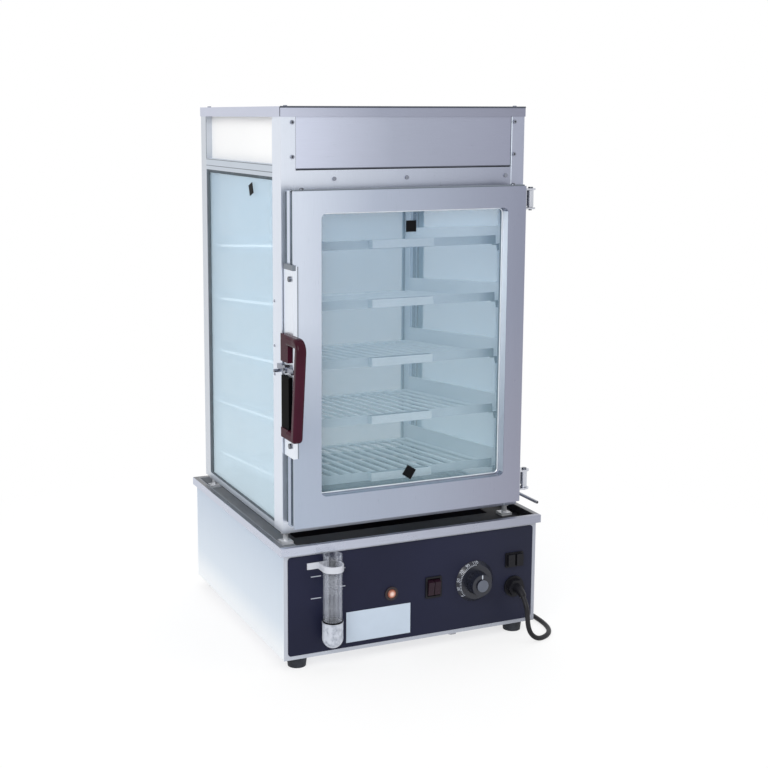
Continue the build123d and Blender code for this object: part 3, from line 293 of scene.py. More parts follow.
def glassFinish(name, tint, haze, fog=0.0, fogTint=(0.64, 0.82, 0.93), inner=None):
    # fog is extra haze, with its own tint, that grows towards the bottom of a pane
    # inner is the tint and the haze of the back pane's inner side, darker than its outer side as painted
    # shade
    f = Finish(name)
    x, y, z = f.axes()
    rim = f.node("ShaderNodeLayerWeight", {}, {"Blend": 0.35}, output="Facing")
    smear = f.noise((1, 1, 0.5), 3.5)
    low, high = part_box("glass_left")
    down = f.clamp((high.z - z) / (high.z - low.z))
    alpha = f.clamp(rim ** 2.0 * 0.45 + smear * 0.06 + down * fog + haze - 0.03)
    tone = f.blend(down, tint, fogTint) if fog else tint
    if inner:
        inside = y < boxCentre("glass_back").y
        tone = f.blend(inside, tint, inner[0])
        alpha = f.clamp(alpha + inside * (inner[1] - haze))
    return seeThrough(f, Base_Color=f.shade(tone, smear, 0.94), Roughness=0.04, Alpha=alpha)


def frostedFinish(name, deep, pale, haze):
    # cloudy moulded plastic, mottled, and a little darker where it turns away, as painted shade
    f = Finish(name)
    rim = f.node("ShaderNodeLayerWeight", {}, {"Blend": 0.4}, output="Facing")
    mottle = f.noise((1, 1, 0.7), 170.0, 2.0)
    tone = f.ramp(mottle - rim * 0.12, (0.30, deep), (0.55, pale))
    return seeThrough(f, Base_Color=tone, Roughness=mottle * 0.2 + 0.2,
                      Alpha=f.clamp(rim * 0.3 + haze), Normal=f.bump(mottle, 0.3, 0.0008))


def gaugeFinish(name, haze):
    # clear tube: pale along its edges and in upright streaks as painted reflections, with a few level
    # smears between them
    f = Finish(name)
    rim = f.node("ShaderNodeLayerWeight", {}, {"Blend": 0.5}, output="Facing")
    streaks = f.noise((1, 1, 0.004), 150.0, 0.0)
    smears = f.noise((0.1, 0.1, 1), 75.0, 1.0)
    edge = f.ramp(rim, (0.25, (0.12, 0.12, 0.12)), (0.72, (0.80, 0.80, 0.80)))
    lines = f.ramp(streaks * 0.7 + smears * 0.35, (0.46, (0, 0, 0)), (0.74, (0.85, 0.85, 0.85)))
    alpha = f.clamp(f.blend(1.0, edge, lines, "ADD") * haze)
    return seeThrough(f, Base_Color=(0.72, 0.76, 0.86), Roughness=0.08, Alpha=alpha)


def panelFinish():
    f = Finish("navyPanel")
    x, y, z = f.axes()
    speck = f.noise((1, 1, 1), 1400.0, 2.0)
    clouds = f.noise((1, 1, 1), 6.0, 2.0)
    # a faint painted reflection: a little lighter and less blue towards the right
    tone = f.ramp(acrossShare(f, x), (0.05, (0.014, 0.016, 0.040)), (0.55, (0.014, 0.016, 0.039)),
                  (0.95, (0.016, 0.018, 0.037)))
    return f.surface(Base_Color=f.shade(tone, clouds, 0.72), Roughness=speck * 0.12 + 0.36,
                     Specular_IOR_Level=0.14, Normal=f.bump(speck, 0.08, 0.0002))


def basinFinish():
    # bright on the lip and its skirt, lighter on the lit left and darker to the right as painted light
    # and shade, the rim's top behind the front darker; dark inside the channel and the well as painted
    # shade, and water stained there
    f = Finish("basinSteel")
    x, y, z = f.axes()
    low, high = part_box("basin")
    hem = 7.6 * mm          # width of the lip
    edge = 0.5 * mm         # thickness of its folded sheet
    litChannelWide = 40.0 * mm    # the part of the channel on the left that daylight reaches
    inside = (x > low.x + hem) * (x < high.x - hem) * (y > low.y + hem) * (y < high.y - hem)
    streaks = f.noise((0.03, 1, 1), 900.0, 2.0)
    stains = f.noise((1, 1, 1), 14.0, 5.0)
    across = acrossShare(f, x)
    # painted light and shade: the lip lighter on the lit left, darker to the right
    bright = f.ramp(across, (0.05, (0.54, 0.575, 0.68)), (0.95, (0.34, 0.355, 0.43)))
    rim = (z > high.z - 0.6 * mm) * (x > low.x + edge) * (y > low.y + hem) * (x < high.x - edge)
    bright = f.blend(rim, bright, (0.135, 0.140, 0.155))
    # painted shade inside the channel and the well, mottled by water stains
    dark = f.ramp(stains, (0.35, (0.012, 0.012, 0.018)), (0.75, (0.060, 0.055, 0.058)))
    # painted shade: darker still towards the right
    dark = f.blend(across, dark, (0.008, 0.008, 0.012))
    # painted light at the channel's left end, where daylight reaches
    litChannel = f.ramp(stains, (0.35, (0.215, 0.235, 0.265)), (0.75, (0.330, 0.345, 0.370)))
    dark = f.blend(x < low.x + litChannelWide, dark, litChannel)
    return f.surface(Base_Color=f.blend(inside, f.shade(bright, streaks, 0.93), dark),
                     Metallic=0.9 - inside * 0.75, Roughness=stains * 0.16 + inside * 0.22 + 0.2,
                     Specular_IOR_Level=0.3, Normal=f.bump(stains, 0.05, 0.0004))


def shellFinish():
    # the sides pale towards the floor, as sheet steel over a white floor does: a painted reflection; the
    # front lighter on the lit left and darker to the right, as painted light and shade
    f = Finish("shellSteel")
    x, y, z = f.axes()
    low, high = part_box("base_shell")
    up = f.clamp((z - low.z) / (high.z - low.z))
    streaks = f.noise((1, 1, 0.03), 900.0, 2.0)
    # painted reflection: the sides paler towards the floor
    side = f.ramp(up, (0.06, (0.86, 0.89, 0.92)), (0.30, (0.66, 0.73, 0.81)), (0.95, (0.50, 0.58, 0.69)))
    # painted light and shade: the front lighter on the lit left, darker to the right
    front = f.ramp(acrossShare(f, x), (0.05, (0.50, 0.53, 0.60)), (0.95, (0.36, 0.38, 0.44)))
    facing = y < low.y + mm
    tone = f.shade(f.blend(facing, side, front), streaks, 0.96)
    return f.surface(Base_Color=tone, Metallic=0.5, Roughness=streaks * 0.12 + 0.34,
                     Normal=f.bump(streaks, 0.04, 0.0002))


def rackFinish():
    # polished bright, with painted shade: the lips darker than the pulls in front of them, the shadow
    # that each pull casts on the lip behind it, and the lips' right ends
    f = Finish("rackSteel")
    x, y, z = f.axes()
    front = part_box("rack_1")[0].y
    reach = 15.0 * mm       # how far a pull stands in front of its lip
    half = 50.0 * mm        # half the width of a pull
    fold = 2.0 * mm         # sheet and play at a fold
    endStart = 135.0 * mm   # from here on the lips run into the shade of the door's frame
    endFade = 25.0 * mm
    lip = y < front + reach + fold
    pull = y < front + fold
    behind = (y > front + reach * 0.5) * lip * (x > -half) * (x < half)
    streaks = brushed(f, (0.02, 1, 1))
    clouds = f.noise((1, 1, 1), 30.0)
    # painted shade: the lips darker than the pulls and the rods
    tone = f.blend(lip, (0.80, 0.86, 0.91), (0.60, 0.67, 0.74))
    # painted shadow of each pull on the lip behind it
    tone = f.blend(behind, tone, (0.20, 0.25, 0.31))
    tone = f.blend(pull, tone, (0.80, 0.85, 0.91))
    ends = f.clamp((x - endStart) / endFade) * lip
    # painted shade at the lips' right ends
    tone = f.blend(ends * 0.85, tone, (0.10, 0.13, 0.16))
    return f.surface(Base_Color=f.shade(f.shade(tone, streaks, 0.94), clouds, 0.92), Metallic=0.15,
                     Roughness=streaks * 0.12 + 0.3, Normal=f.bump(clouds, 0.05, 0.0002))


def rackRailFinish():
    # bright folded rails, made pale as painted light, whose cut front ends are painted dark as shade
    f = Finish("rackRailSteel")
    x, y, z = f.axes()
    streaks = brushed(f, (1, 0.02, 1))
    clouds = f.noise((1, 1, 1), 30.0)
    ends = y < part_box("rack_rails")[0].y + 2.5 * mm
    # painted light on the pale rails, painted shade on their cut front ends
    tone = f.blend(ends, (0.84, 0.90, 0.95), (0.09, 0.13, 0.17))
    return f.surface(Base_Color=f.shade(f.shade(tone, streaks, 0.95), clouds, 0.94), Metallic=0.12,
                     Roughness=streaks * 0.12 + 0.34, Normal=f.bump(clouds, 0.05, 0.0002))


def glintFinish():
    # painted highlight on the rolled edges of the rails, where they catch the light behind the left pane:
    # a bright colour that also glows
    f = Finish("railGlint")
    fine = f.noise((1, 0.05, 1), 400.0, 2.0)
    tone = f.ramp(fine, (0.3, (0.84, 0.92, 0.98)), (0.7, (0.90, 0.96, 1.0)))
    # painted highlight that glows, though it is no lamp
    return f.surface(Base_Color=tone, Roughness=0.35, Emission_Color=tone, Emission_Strength=0.7,
                     Normal=f.bump(fine, 0.03, 0.0002))


def lampFinish():
    f = Finish("orangeLamp")
    x, y, z = f.axes()
    centre = boxCentre("indicator_lamp")
    across = x - centre.x
    up = z - centre.z
    reach = 14.0 * mm           # distance from the middle at which away is 1
    away = (across * across + up * up) ** 0.5 / reach
    tone = f.ramp(away, (0.0, (0.72, 0.56, 0.50)), (0.20, (0.56, 0.37, 0.32)), (0.34, (0.34, 0.11, 0.06)),
                  (0.48, (0.14, 0.035, 0.02)), (0.51, (0.02, 0.012, 0.014)))
    glow = f.ramp(away, (0.0, (0.62, 0.44, 0.37)), (0.3, (0.20, 0.09, 0.06)), (0.45, (0.0, 0.0, 0.0)))
    return f.surface(Base_Color=tone, Roughness=0.22, Specular_IOR_Level=0.4, Emission_Color=glow,
                     Emission_Strength=0.22)


def handleFinish():
    f = Finish("maroonPlastic")
    broad = f.noise((1, 1, 1), 18.0)
    fine = f.noise((1, 1, 1), 900.0, 2.0)
    x, y, z = f.axes()
    gripStart = -200.0 * mm     # the grip alone is polished, not its stems
    fade = 8.0 * mm
    grip = f.clamp((gripStart - y) / fade)
    tone = f.ramp(broad, (0.3, (0.030, 0.003, 0.010)), (0.7, (0.046, 0.005, 0.017)))
    return f.surface(Base_Color=tone, Roughness=broad * 0.1 + 0.18, Specular_IOR_Level=0.05,
                     Coat_Weight=grip * 0.16, Coat_Roughness=0.08, Normal=f.bump(fine, 0.03, 0.0002))


def opalFinish():
    f = Finish("opalSheet")
    fine = f.noise((1, 1, 1), 300.0, 2.0)
    clouds = f.noise((1, 1, 1), 4.0, 2.0)
    tone = f.ramp(clouds, (0.3, (0.83, 0.835, 0.84)), (0.7, (0.865, 0.865, 0.865)))
    # a slight glow on the white sheet: painted light
    return f.surface(Base_Color=tone, Roughness=0.4, Emission_Color=tone, Emission_Strength=0.04,
                     Normal=f.bump(fine, 0.03, 0.0002))


def cordFinish():
    f = Finish("cordSheath")
    fine = f.noise((1, 1, 1), 500.0)
    dust = f.noise((1, 1, 1), 30.0)
    tone = f.ramp(dust, (0.35, (0.010, 0.010, 0.012)), (0.8, (0.026, 0.026, 0.030)))
    return f.surface(Base_Color=tone, Roughness=dust * 0.2 + 0.34, Specular_IOR_Level=0.17,
                     Normal=f.bump(fine, 0.1, 0.0003))


# the steel finishes are copies of one stainless steel, each with painted light and shade of its own
finishes = {
    "door": doorSteel(),
    "frame": steelFinish("frameSteel", light=(0.74, 0.79, 0.88), middle=(0.48, 0.52, 0.62),
                         dark=(0.31, 0.33, 0.42), turning=0.5),
    "flat": steelFinish("headerSteel", grain=(0.02, 1, 1), light=(0.68, 0.72, 0.86),
                        middle=(0.40, 0.43, 0.53), dark=(0.31, 0.325, 0.42), turning=0.45),
    "cover": steelFinish("coverSteel", grain=(0.02, 1, 1), light=(0.57, 0.60, 0.72),
                         middle=(0.35, 0.375, 0.47), dark=(0.27, 0.28, 0.36), turning=0.4),
    "rail": steelFinish("railSteel", grain=(1, 0.02, 1), light=(0.55, 0.61, 0.69),
                        middle=(0.46, 0.51, 0.58), dark=(0.32, 0.34, 0.42)),
    "rack": rackFinish(),
    "rackRail": rackRailFinish(),
    "tube": plainSteel("tubeSteel", (0.42, 0.43, 0.47)),
    # the latch plate faces the lit side: its paler tones are painted light
    "plate": steelFinish("plateSteel", light=(0.82, 0.87, 0.95), middle=(0.62, 0.64, 0.70),
                         dark=(0.45, 0.47, 0.54)),
    "screw": plainSteel("screwSteel", (0.27, 0.29, 0.35)),
    "rivet": plainSteel("rivetSteel", (0.13, 0.14, 0.165)),
    "hinge": plainSteel("hingeSteel", (0.60, 0.62, 0.68), (1, 1, 0.05)),
    "pin": plainSteel("pinSteel", (0.15, 0.16, 0.19), (1, 1, 0.05)),
    "foot": plainSteel("footSteel", (0.84, 0.86, 0.90), metallic=0.3),
    "backPost": steelFinish("backPostSteel", light=(0.60, 0.64, 0.70), middle=(0.44, 0.48, 0.57),
                            dark=(0.46, 0.52, 0.62), pale=(0.1735, 0.1745),
                            lines=((0.1798, 0.1860), (0.1938, 0.1956))),
    "rightPost": steelFinish("rightPostSteel", light=(0.74, 0.79, 0.88), middle=(0.48, 0.52, 0.62),
                             dark=(0.37, 0.395, 0.495), turning=0.5, pale=(0.1735, 0.1752)),
    "shell": shellFinish(),
    "basin": basinFinish(),
    "panel": panelFinish(),
    "black": plasticFinish("blackPlastic", (0.013, 0.015, 0.025), 0.24, 0.48),
    "fitting": plasticFinish("blackFitting", (0.008, 0.008, 0.011), 0.42, 0.2),
    "rocker": plasticFinish("redRocker", (0.019, 0.007, 0.014), 0.24, 0.22),
    "white": plasticFinish("whitePlastic", (0.56, 0.58, 0.64), 0.35, 0.5, 0.9),
    "label": plasticFinish("labelSheet", (0.50, 0.58, 0.68), 0.4, 0.3, 0.93),
    "mark": plasticFinish("printedMark", (0.50, 0.53, 0.60), 0.5, 0.2),
    # dark ink for the marks and the gauge's seal, and painted shade in the screws' cross recesses
    "dark": plasticFinish("darkInkAndRecessShade", (0.006, 0.006, 0.007), 0.5, 0.06),
    "inlay": plasticFinish("blackInlay", (0.0012, 0.0012, 0.0018), 0.45, 0.015),
    "rubber": rubberFinish("blackRubber", (0.022, 0.025, 0.032)),
    "seal": rubberFinish("greySeal", (0.060, 0.080, 0.098), 0.55),
    # the door pane is tinted darker than the side panes, as painted shade
    "doorGlass": glassFinish("doorGlass", (0.25, 0.38, 0.52), 0.25, fog=0.03, fogTint=(0.42, 0.60, 0.68)),
    "sideGlass": glassFinish("sideGlass", (0.50, 0.68, 0.82), 0.32, fog=0.20),
    "backGlass": glassFinish("backGlass", (0.50, 0.68, 0.82), 0.33, inner=((0.28, 0.44, 0.56), 0.54)),
    "gaugeGlass": gaugeFinish("gaugeGlass", 0.20),
    "frosted": frostedFinish("frostedPlastic", (0.36, 0.39, 0.46), (0.57, 0.605, 0.68), 0.84),
    "lamp": lampFinish(),
    # painted highlight: the bead round the door's window
    "bead": plainSteel("beadHighlight", (0.90, 0.94, 0.98), (1, 1, 1), 0.3),
    "edge": plainSteel("edgeSteel", (0.10, 0.11, 0.14), (0.02, 1, 1), 0.35),
    # dark lines: painted shade at the rails' front ends, and along the side panes partly their seals and
    # partly painted shade
    "line": rubberFinish("darkLine", (0.034, 0.052, 0.068), 0.5),
    "glint": glintFinish(),
    "cap": plainSteel("capSteel", (0.15, 0.165, 0.205), (1, 1, 1), 0.32),
    "handle": handleFinish(),
    "fold": plainSteel("foldShadow", (0.20, 0.23, 0.27), (1, 0.02, 1), 0.4, 0.6),
    "opal": opalFinish(),
    "cord": cordFinish(),
}

nodeFinish = {
    "door": ["door_skin", "door_inner_frame"],
    "plate": ["latch_plate"],
    "frame": ["front_post_left", "front_top_rail", "front_sill"],
    "rightPost": ["front_post_right"],
    "backPost": ["back_posts"],
    "flat": ["header_front_panel", "header_back_panel", "ceiling_panel", "base_bottom_plate"],
    "cover": ["top_cover"],
    "rail": ["upper_rails", "bottom_rails"],
    "foot": ["cabinet_feet"],
    "rack": ["rack_1", "rack_2", "rack_3", "rack_4", "rack_5"],
    "rackRail": ["rack_rails"],
    "tube": ["heating_element", "drain_pipe", "condensate_pipe"],
    "screw": ["cabinet_screws", "base_fasteners", "latch_lever", "plug_pins"],
    "rivet": ["door_fasteners"],
    "hinge": ["door_hinges", "post_hinges"],
    "pin": ["hinge_pins"],
    "shell": ["base_shell"],
    "basin": ["basin"],
    "panel": ["control_panel"],
    "black": ["thermostat_knob", "thermostat_body"],
    "fitting": ["cable_gland", "switch_frame", "fuse_holder"],
    "inlay": ["latch_cover"],
    "rocker": ["rocker_left", "rocker_right"],
    "white": ["gauge_clip"],
    "rubber": ["base_feet"],
    "seal": ["glass_seals", "door_gasket"],
    "doorGlass": ["door_glass"],
    "sideGlass": ["glass_left", "glass_right"],
    "backGlass": ["glass_back"],
    "gaugeGlass": ["gauge_tube"],
    "frosted": ["gauge_elbow"],
    "lamp": ["indicator_lamp"],
    "handle": ["door_handle"],
    "opal": ["header_side_panels"],
    "cord": ["power_cord", "cord_coil", "plug_body"],
}
for finishName, names in nodeFinish.items():
    for nodeName in names:
        for item in nodes[nodeName].material_slots:
            item.material = finishes[finishName]
print("finishes set")


# Making pieces

def meshObject(name, bm, material):
    mesh = bpy.data.meshes.new(name)
    bm.to_mesh(mesh)
    bm.free()
    mesh.materials.append(material)
    made = bpy.data.objects.new(name, mesh)
    scene.collection.objects.link(made)
    return made


def newPiece(name, bm, finish, body):
    piece = meshObject(name, bm, finishes[finish])
    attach(piece, body)
    return piece


def smooth(piece, angle):
    piece.data.shade_smooth()
    piece.data.set_sharp_from_angle(angle=math.radians(angle))


def addBlock(bm, shape, corner=0.0, segments=2):
    # a unit cube taken through the matrix shape, its edges rounded by corner
    made = bmesh.ops.create_cube(bm, size=1.0, matrix=shape)
    if corner:
        edges = list(dict.fromkeys(edge for vert in made["verts"] for edge in vert.link_edges))
        bmesh.ops.bevel(bm, geom=edges, offset=corner, segments=segments, profile=0.5, affect="EDGES",
                        material=-1)


def addBox(bm, low, high, corner, segments):
    size = Vector(high) - Vector(low)
    middle = (Vector(high) + Vector(low)) / 2
    addBlock(bm, Matrix.Translation(middle) @ Matrix.Diagonal((*size, 1)), corner, segments)


outwardsTurns = {
    "Z": Matrix.Identity(4),
    "-Y": Matrix.Rotation(math.radians(90), 4, "X"),
    "-X": Matrix.Rotation(math.radians(-90), 4, "Y"),
}


def addTurned(bm, profile, place, axis, steps):
    # profile is a list of (radius, height), closed by poles on the axis
    earlier = set(bm.verts)
    verts = [bm.verts.new((radius, 0, height)) for radius, height in profile]
    edges = [bm.edges.new(pair) for pair in zip(verts, verts[1:])]
    bmesh.ops.spin(bm, geom=verts + edges, cent=(0, 0, 0), axis=(0, 0, 1), angle=math.tau,
                   steps=steps, use_merge=True, use_duplicate=False)
    grown = [vert for vert in bm.verts if vert not in earlier]
    bmesh.ops.transform(bm, matrix=Matrix.Translation(place) @ outwardsTurns[axis], verts=grown)
    bmesh.ops.remove_doubles(bm, verts=grown, dist=1e-6)


def addHead(bm, s, place, axis, steps, grow=1.0):
    # the points of its shape are shares of its radius and its height
    profile = [(s["radius"] * grow * across, s["height"] * grow * up) for across, up in s["shape"]]
    addTurned(bm, profile, place, axis, steps)


def closeUp(bm):
    bmesh.ops.remove_doubles(bm, verts=bm.verts, dist=1e-6)
    bmesh.ops.recalc_face_normals(bm, faces=bm.faces)


def makeHeads(name, s, places, axis, steps, finish, body, angle=50):
    bm = bmesh.new()
    for place in places:
        addHead(bm, s, place, axis, steps)
    closeUp(bm)
    smooth(newPiece(name, bm, finish, body), angle)


def makeWire(name, kind, points, radius, finish, body, closed=False, roundness=3):
    data = bpy.data.curves.new(name, "CURVE")
    data.dimensions = "3D"
    spline = data.splines.new(kind)
    spline.points.add(len(points) - 1)
    for control, place in zip(spline.points, points):
        control.co = (*place, 1.0)
    if kind == "NURBS":         # set here, because after linking it makes the object's box too large
        spline.order_u = 3
        spline.use_endpoint_u = True
        spline.resolution_u = 6
    spline.use_cyclic_u = closed
    spline.use_smooth = True
    data.bevel_depth = radius
    data.bevel_resolution = roundness
    data.use_fill_caps = not closed
    data.materials.append(finishes[finish])
    piece = bpy.data.objects.new(name, data)
    scene.collection.objects.link(piece)
    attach(piece, body)
    return piece


# Lead: the same route as the solid tube, then the coil that is put away behind

leadSettings = {
    "radius": 0.00375,
    "exitX": 0.171,
    "drop": [(0.1712, -0.2299, 0.0506), (0.1720, -0.2312, 0.0275), (0.1785, -0.2315, 0.0128)],
    "floor": [
        (0.1925, -0.2300), (0.2125, -0.2225), (0.2280, -0.2050), (0.2355, -0.1780), (0.2365, -0.1400),
        (0.2330, -0.0920), (0.2355, -0.0380), (0.2400, 0.0200), (0.2400, 0.0800), (0.2360, 0.1380),
        (0.2310, 0.1880), (0.2190, 0.2260), (0.1900, 0.2470),
    ],
    "lastRun": 0.048,
    "layerTurns": 1.75,
    "climbTurns": 0.5,
    "middleRadius": 0.042,
    "pitch": 0.0094,
    "layer": 0.00825,
    "coilX": 0.096,
    "clear": 0.022,
    "tail": 0.050,
    "pointsPerTurn": 16,
    "length": 1.76,
}
bootSettings = {    # the bend of the gland's sleeve, at whose end the lead comes out
    "bend": 0.026,
    "turn": 45.0,
    "height": 0.078,
    "start": -0.1983,
    "firstRun": 0.012,
}


def coilPoints(s, lipBack):
    # inwards along the floor, up half a turn, then outwards again on top
    outer = s["middleRadius"] + s["pitch"] * s["layerTurns"] / 2
    inner = outer - s["pitch"] * s["layerTurns"]
    centreY = lipBack + s["clear"] + outer + s["radius"]
    total = 2 * s["layerTurns"] + s["climbTurns"]
    steps = round(total * s["pointsPerTurn"])
    points = []
    for step in range(1, steps):
        turns = total * step / steps
        climbed = turns - s["layerTurns"]
        if climbed <= 0:
            radius = outer - s["pitch"] * turns
            rise = 0.0
        elif climbed < s["climbTurns"]:
            radius = inner
            rise = s["layer"] * (1 - math.cos(math.pi * climbed / s["climbTurns"])) / 2
        else:
            radius = inner + s["pitch"] * (climbed - s["climbTurns"])
            rise = s["layer"]
        radius /= math.cos(math.pi / s["pointsPerTurn"]) ** 0.5
        angle = -math.pi / 2 - math.tau * turns
        points.append((s["coilX"] + radius * math.cos(angle), centreY + radius * math.sin(angle),
                       s["radius"] + rise))
    edge = centreY - outer
    start = s["coilX"] + 2 * s["radius"]
    run = [(start + s["lastRun"], edge, s["radius"]), (start, edge, s["radius"])]
    last = -math.pi / 2 - math.tau * total
    endX = s["coilX"] + outer * math.cos(last)
    endY = centreY + outer * math.sin(last)
    high = s["radius"] + s["layer"]
    tail = [(endX, endY, high), (endX - s["tail"] / 2, endY, high), (endX - s["tail"], endY, high)]
    return run + points + tail


def makeLead(s, boot):
    turn = math.radians(boot["turn"])
    exitX = s["exitX"]
    exitY = boot["start"] - boot["bend"] * math.sin(turn)
    exitZ = boot["height"] - boot["bend"] * (1 - math.cos(turn))
    first = (exitX, exitY - boot["firstRun"] * math.cos(turn), exitZ - boot["firstRun"] * math.sin(turn))
    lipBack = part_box("basin")[1].y
    along = [(x, y, s["radius"]) for x, y in s["floor"]]
    points = [(exitX, exitY, exitZ), first] + s["drop"] + along + coilPoints(s, lipBack)
    lead = makeWire("lead", "NURBS", points, s["radius"], "cord", "cabinet", roundness=5)
    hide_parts("power_cord", "cord_coil")
    return lead, points[0], points[-1]


plugSettings = {
    "mouth": [(0.0, 0.0), (0.0048, 0.0), (0.0052, 0.002)],
    "ribs": 5,
    "ribStart": 0.003,
    "ribPitch": 0.0038,
    "ribSteps": (0.0008, 0.0021, 0.0029),    # start and end of a rib's crest, then its root
    "groove": 0.0052,
    "crest": 0.0060,
    "widening": 0.0004,
    "shoulder": (0.0072, 0.0222),
    "reliefLong": 0.0215,
    "corner": 0.004,
}


def makePlug(s, end):
    # a moulded plug: a rounded body behind a ribbed strain relief
    crestStart, crestEnd, root = s["ribSteps"]
    bm = bmesh.new()
    profile = list(s["mouth"])
    for rib in range(s["ribs"]):
        base = s["ribStart"] + rib * s["ribPitch"]
        groove = s["groove"] + rib * s["widening"]
        crest = s["crest"] + rib * s["widening"]
        profile += [(groove, base), (crest, base + crestStart), (crest, base + crestEnd),
                    (groove, base + root)]
    profile += [s["shoulder"], (0.0, s["shoulder"][1])]
    addTurned(bm, profile, end, "-X", 24)
    low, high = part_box("plug_body")
    addBox(bm, low, (high.x - s["reliefLong"], high.y, high.z), s["corner"], 4)
    closeUp(bm)
    plug = newPiece("plug", bm, "cord", "cabinet")
    smooth(plug, 40)
    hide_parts("plug_body")
    return plug


lead, leadExit, leadEnd = makeLead(leadSettings, bootSettings)
plug = makePlug(plugSettings, leadEnd)
print("lead made")


# Screws: a pan head with a cross recess

screwSettings = {
    "radius": 0.003,
    "height": 0.0016,
    "shape": [(0.0, 0.0), (1.0, 0.0), (1.0, 0.35), (0.88, 0.75), (0.6, 0.98), (0.0, 1.0)],
    "slotLong": 0.0034,
    "slotWide": 0.0009,
    "slotDeep": 0.12,                    # share of the height
}
casePlaces = {
    "inset": 0.011,                      # top screws, from the cover's edges
    "sideInset": 0.017,                  # header screws, from the posts' outer faces
    "drops": (0.022, 0.070),             # header screws, below the cover's top
    "railScrews": (-0.115, 0.0, 0.165),
    "railDrop": 0.0125,
    "railGrow": 0.8,
}


def addCross(bm, s, place, axis, grow):
    height = s["height"] * grow
    centre = Matrix.Translation(place) @ outwardsTurns[axis] @ Matrix.Translation((0, 0, height))
    # the cross recess is drawn as thin dark blocks on the head: painted shade
    for wide, tall in ((s["slotLong"], s["slotWide"]), (s["slotWide"], s["slotLong"])):
        addBlock(bm, centre @ Matrix.Diagonal((wide * grow, tall * grow, height * s["slotDeep"], 1)))


def makeScrews(s, places):
    heads = bmesh.new()
    slots = bmesh.new()
    for place, axis, grow in places:
        addHead(heads, s, place, axis, 20, grow)
        addCross(slots, s, place, axis, grow)
    closeUp(heads)
    smooth(newPiece("caseScrews", heads, "screw", "cabinet"), 50)
    newPiece("caseScrewsSlots", slots, "dark", "cabinet")


def caseScrews(s):
    top = coverHigh.z
    front = postLow.y
    half = -postLow.x
    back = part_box("back_posts")[1].y
    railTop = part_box("front_top_rail")[1].z
    inset = s["inset"]
    places = []
    for side in (-1, 1):
        for drop in s["drops"]:
            places.append(((side * (half - s["sideInset"]), front, top - drop), "-Y", 1.0))
        for y in (front + inset, back - inset):
            places.append(((side * (half - inset), y, top), "Z", 1.0))
    for x in s["railScrews"]:
        places.append(((x, front, railTop - s["railDrop"]), "-Y", s["railGrow"]))
    return places


makeScrews(screwSettings, caseScrews(casePlaces))
print("screws made")


# Small marks on the case: squares on the panes, rivets on the post, blank label, level lines

markSettings = {
    "square": 0.0165,
    "thick": 0.0006,
    "corner": 0.0002,
    "doorMarks": [(-0.0016, 0.640, 0.0), (-0.0011, 0.273, 33.0)],      # x, z and turn
    "sideMark": (-0.020, 0.690, 20.0),                                 # y, z and turn
    "label": {"low": (-0.112, 0.030), "high": (-0.007, 0.077)},
    "levels": [(-0.168, -0.152, 0.139), (-0.168, -0.152, 0.106), (-0.1215, -0.1135, 0.146),
               (-0.1215, -0.1135, 0.1185)],
    "levelTall": 0.0012,
    "ink": 0.0002,
}
rivetSettings = {
    "radius": 0.0022,
    "height": 0.0011,
    "shape": [(0.0, 0.0), (1.0, 0.0), (0.85, 0.6), (0.5, 0.9), (0.0, 1.0)],
    "places": [(-0.120, 0.535), (-0.120, 0.470), (-0.120, 0.428)],     # y and z
}


def addPlate(bm, centre, wide, tall, thick, turn=0.0, axis="Y", corner=0.0):
    shape = Matrix.Translation(centre)
    if axis == "X":
        shape = shape @ Matrix.Rotation(math.radians(90), 4, "Z")
    shape = shape @ Matrix.Rotation(math.radians(turn), 4, "Y")
    addBlock(bm, shape @ Matrix.Diagonal((wide, thick, tall, 1)), corner)


def makePaneMarks(s):
    side = s["square"]
    thick = s["thick"]
    bm = bmesh.new()
    for x, z, turn in s["doorMarks"]:
        addPlate(bm, (x, glassLow.y - thick / 2, z), side, side, thick, turn, corner=s["corner"])
    newPiece("doorGlassMarks", bm, "dark", "door")
    bm = bmesh.new()
    y, z, turn = s["sideMark"]
    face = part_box("glass_left")[0].x
    addPlate(bm, (face - thick / 2, y, z), side, side, thick, turn, "X", s["corner"])
    newPiece("sideGlassMark", bm, "dark", "cabinet")


def makeRivets(s):
    places = [(postLow.x, y, z) for y, z in s["places"]]
    makeHeads("postRivets", s, places, "-X", 16, "screw", "cabinet", 60)


def makePanelMarks(s):
    low, high = s["label"]["low"], s["label"]["high"]
    thick = s["thick"]
    centre = ((low[0] + high[0]) / 2, panelFront - thick / 2, (low[1] + high[1]) / 2)
    bm = bmesh.new()
    addPlate(bm, centre, high[0] - low[0], high[1] - low[1], thick, corner=s["corner"])
    newPiece("blankLabel", bm, "label", "cabinet")
    bm = bmesh.new()
    for x0, x1, z in s["levels"]:
        addPlate(bm, ((x0 + x1) / 2, panelFront - s["ink"] / 2, z), x1 - x0, s["levelTall"], s["ink"])
    newPiece("levelMarks", bm, "mark", "cabinet")


makePaneMarks(markSettings)
makeRivets(rivetSettings)
makePanelMarks(markSettings)
print("marks made")


# Rack rails: painted shade as dark front ends on the right, and painted highlights as glowing strips on
# the rolled edges along the outer faces

railDrops = [index * 0.0875 for index in range(5)]      # of each pair of rails below the top one
railTabSettings = {
    "x": (0.1672, 0.1736),
    "z": (0.5935, 0.6045),       # of the top rail
    "thick": 0.0008,
    "corner": 0.0003,
}
railGlintSettings = {
    "front": (-0.108, 0.6122),   # y and z of the top edge's front end
    "back": 0.184,
    "slope": 5.0,
    "tall": 0.0036,
    "proud": 0.0005,
    "corner": 0.0001,
}


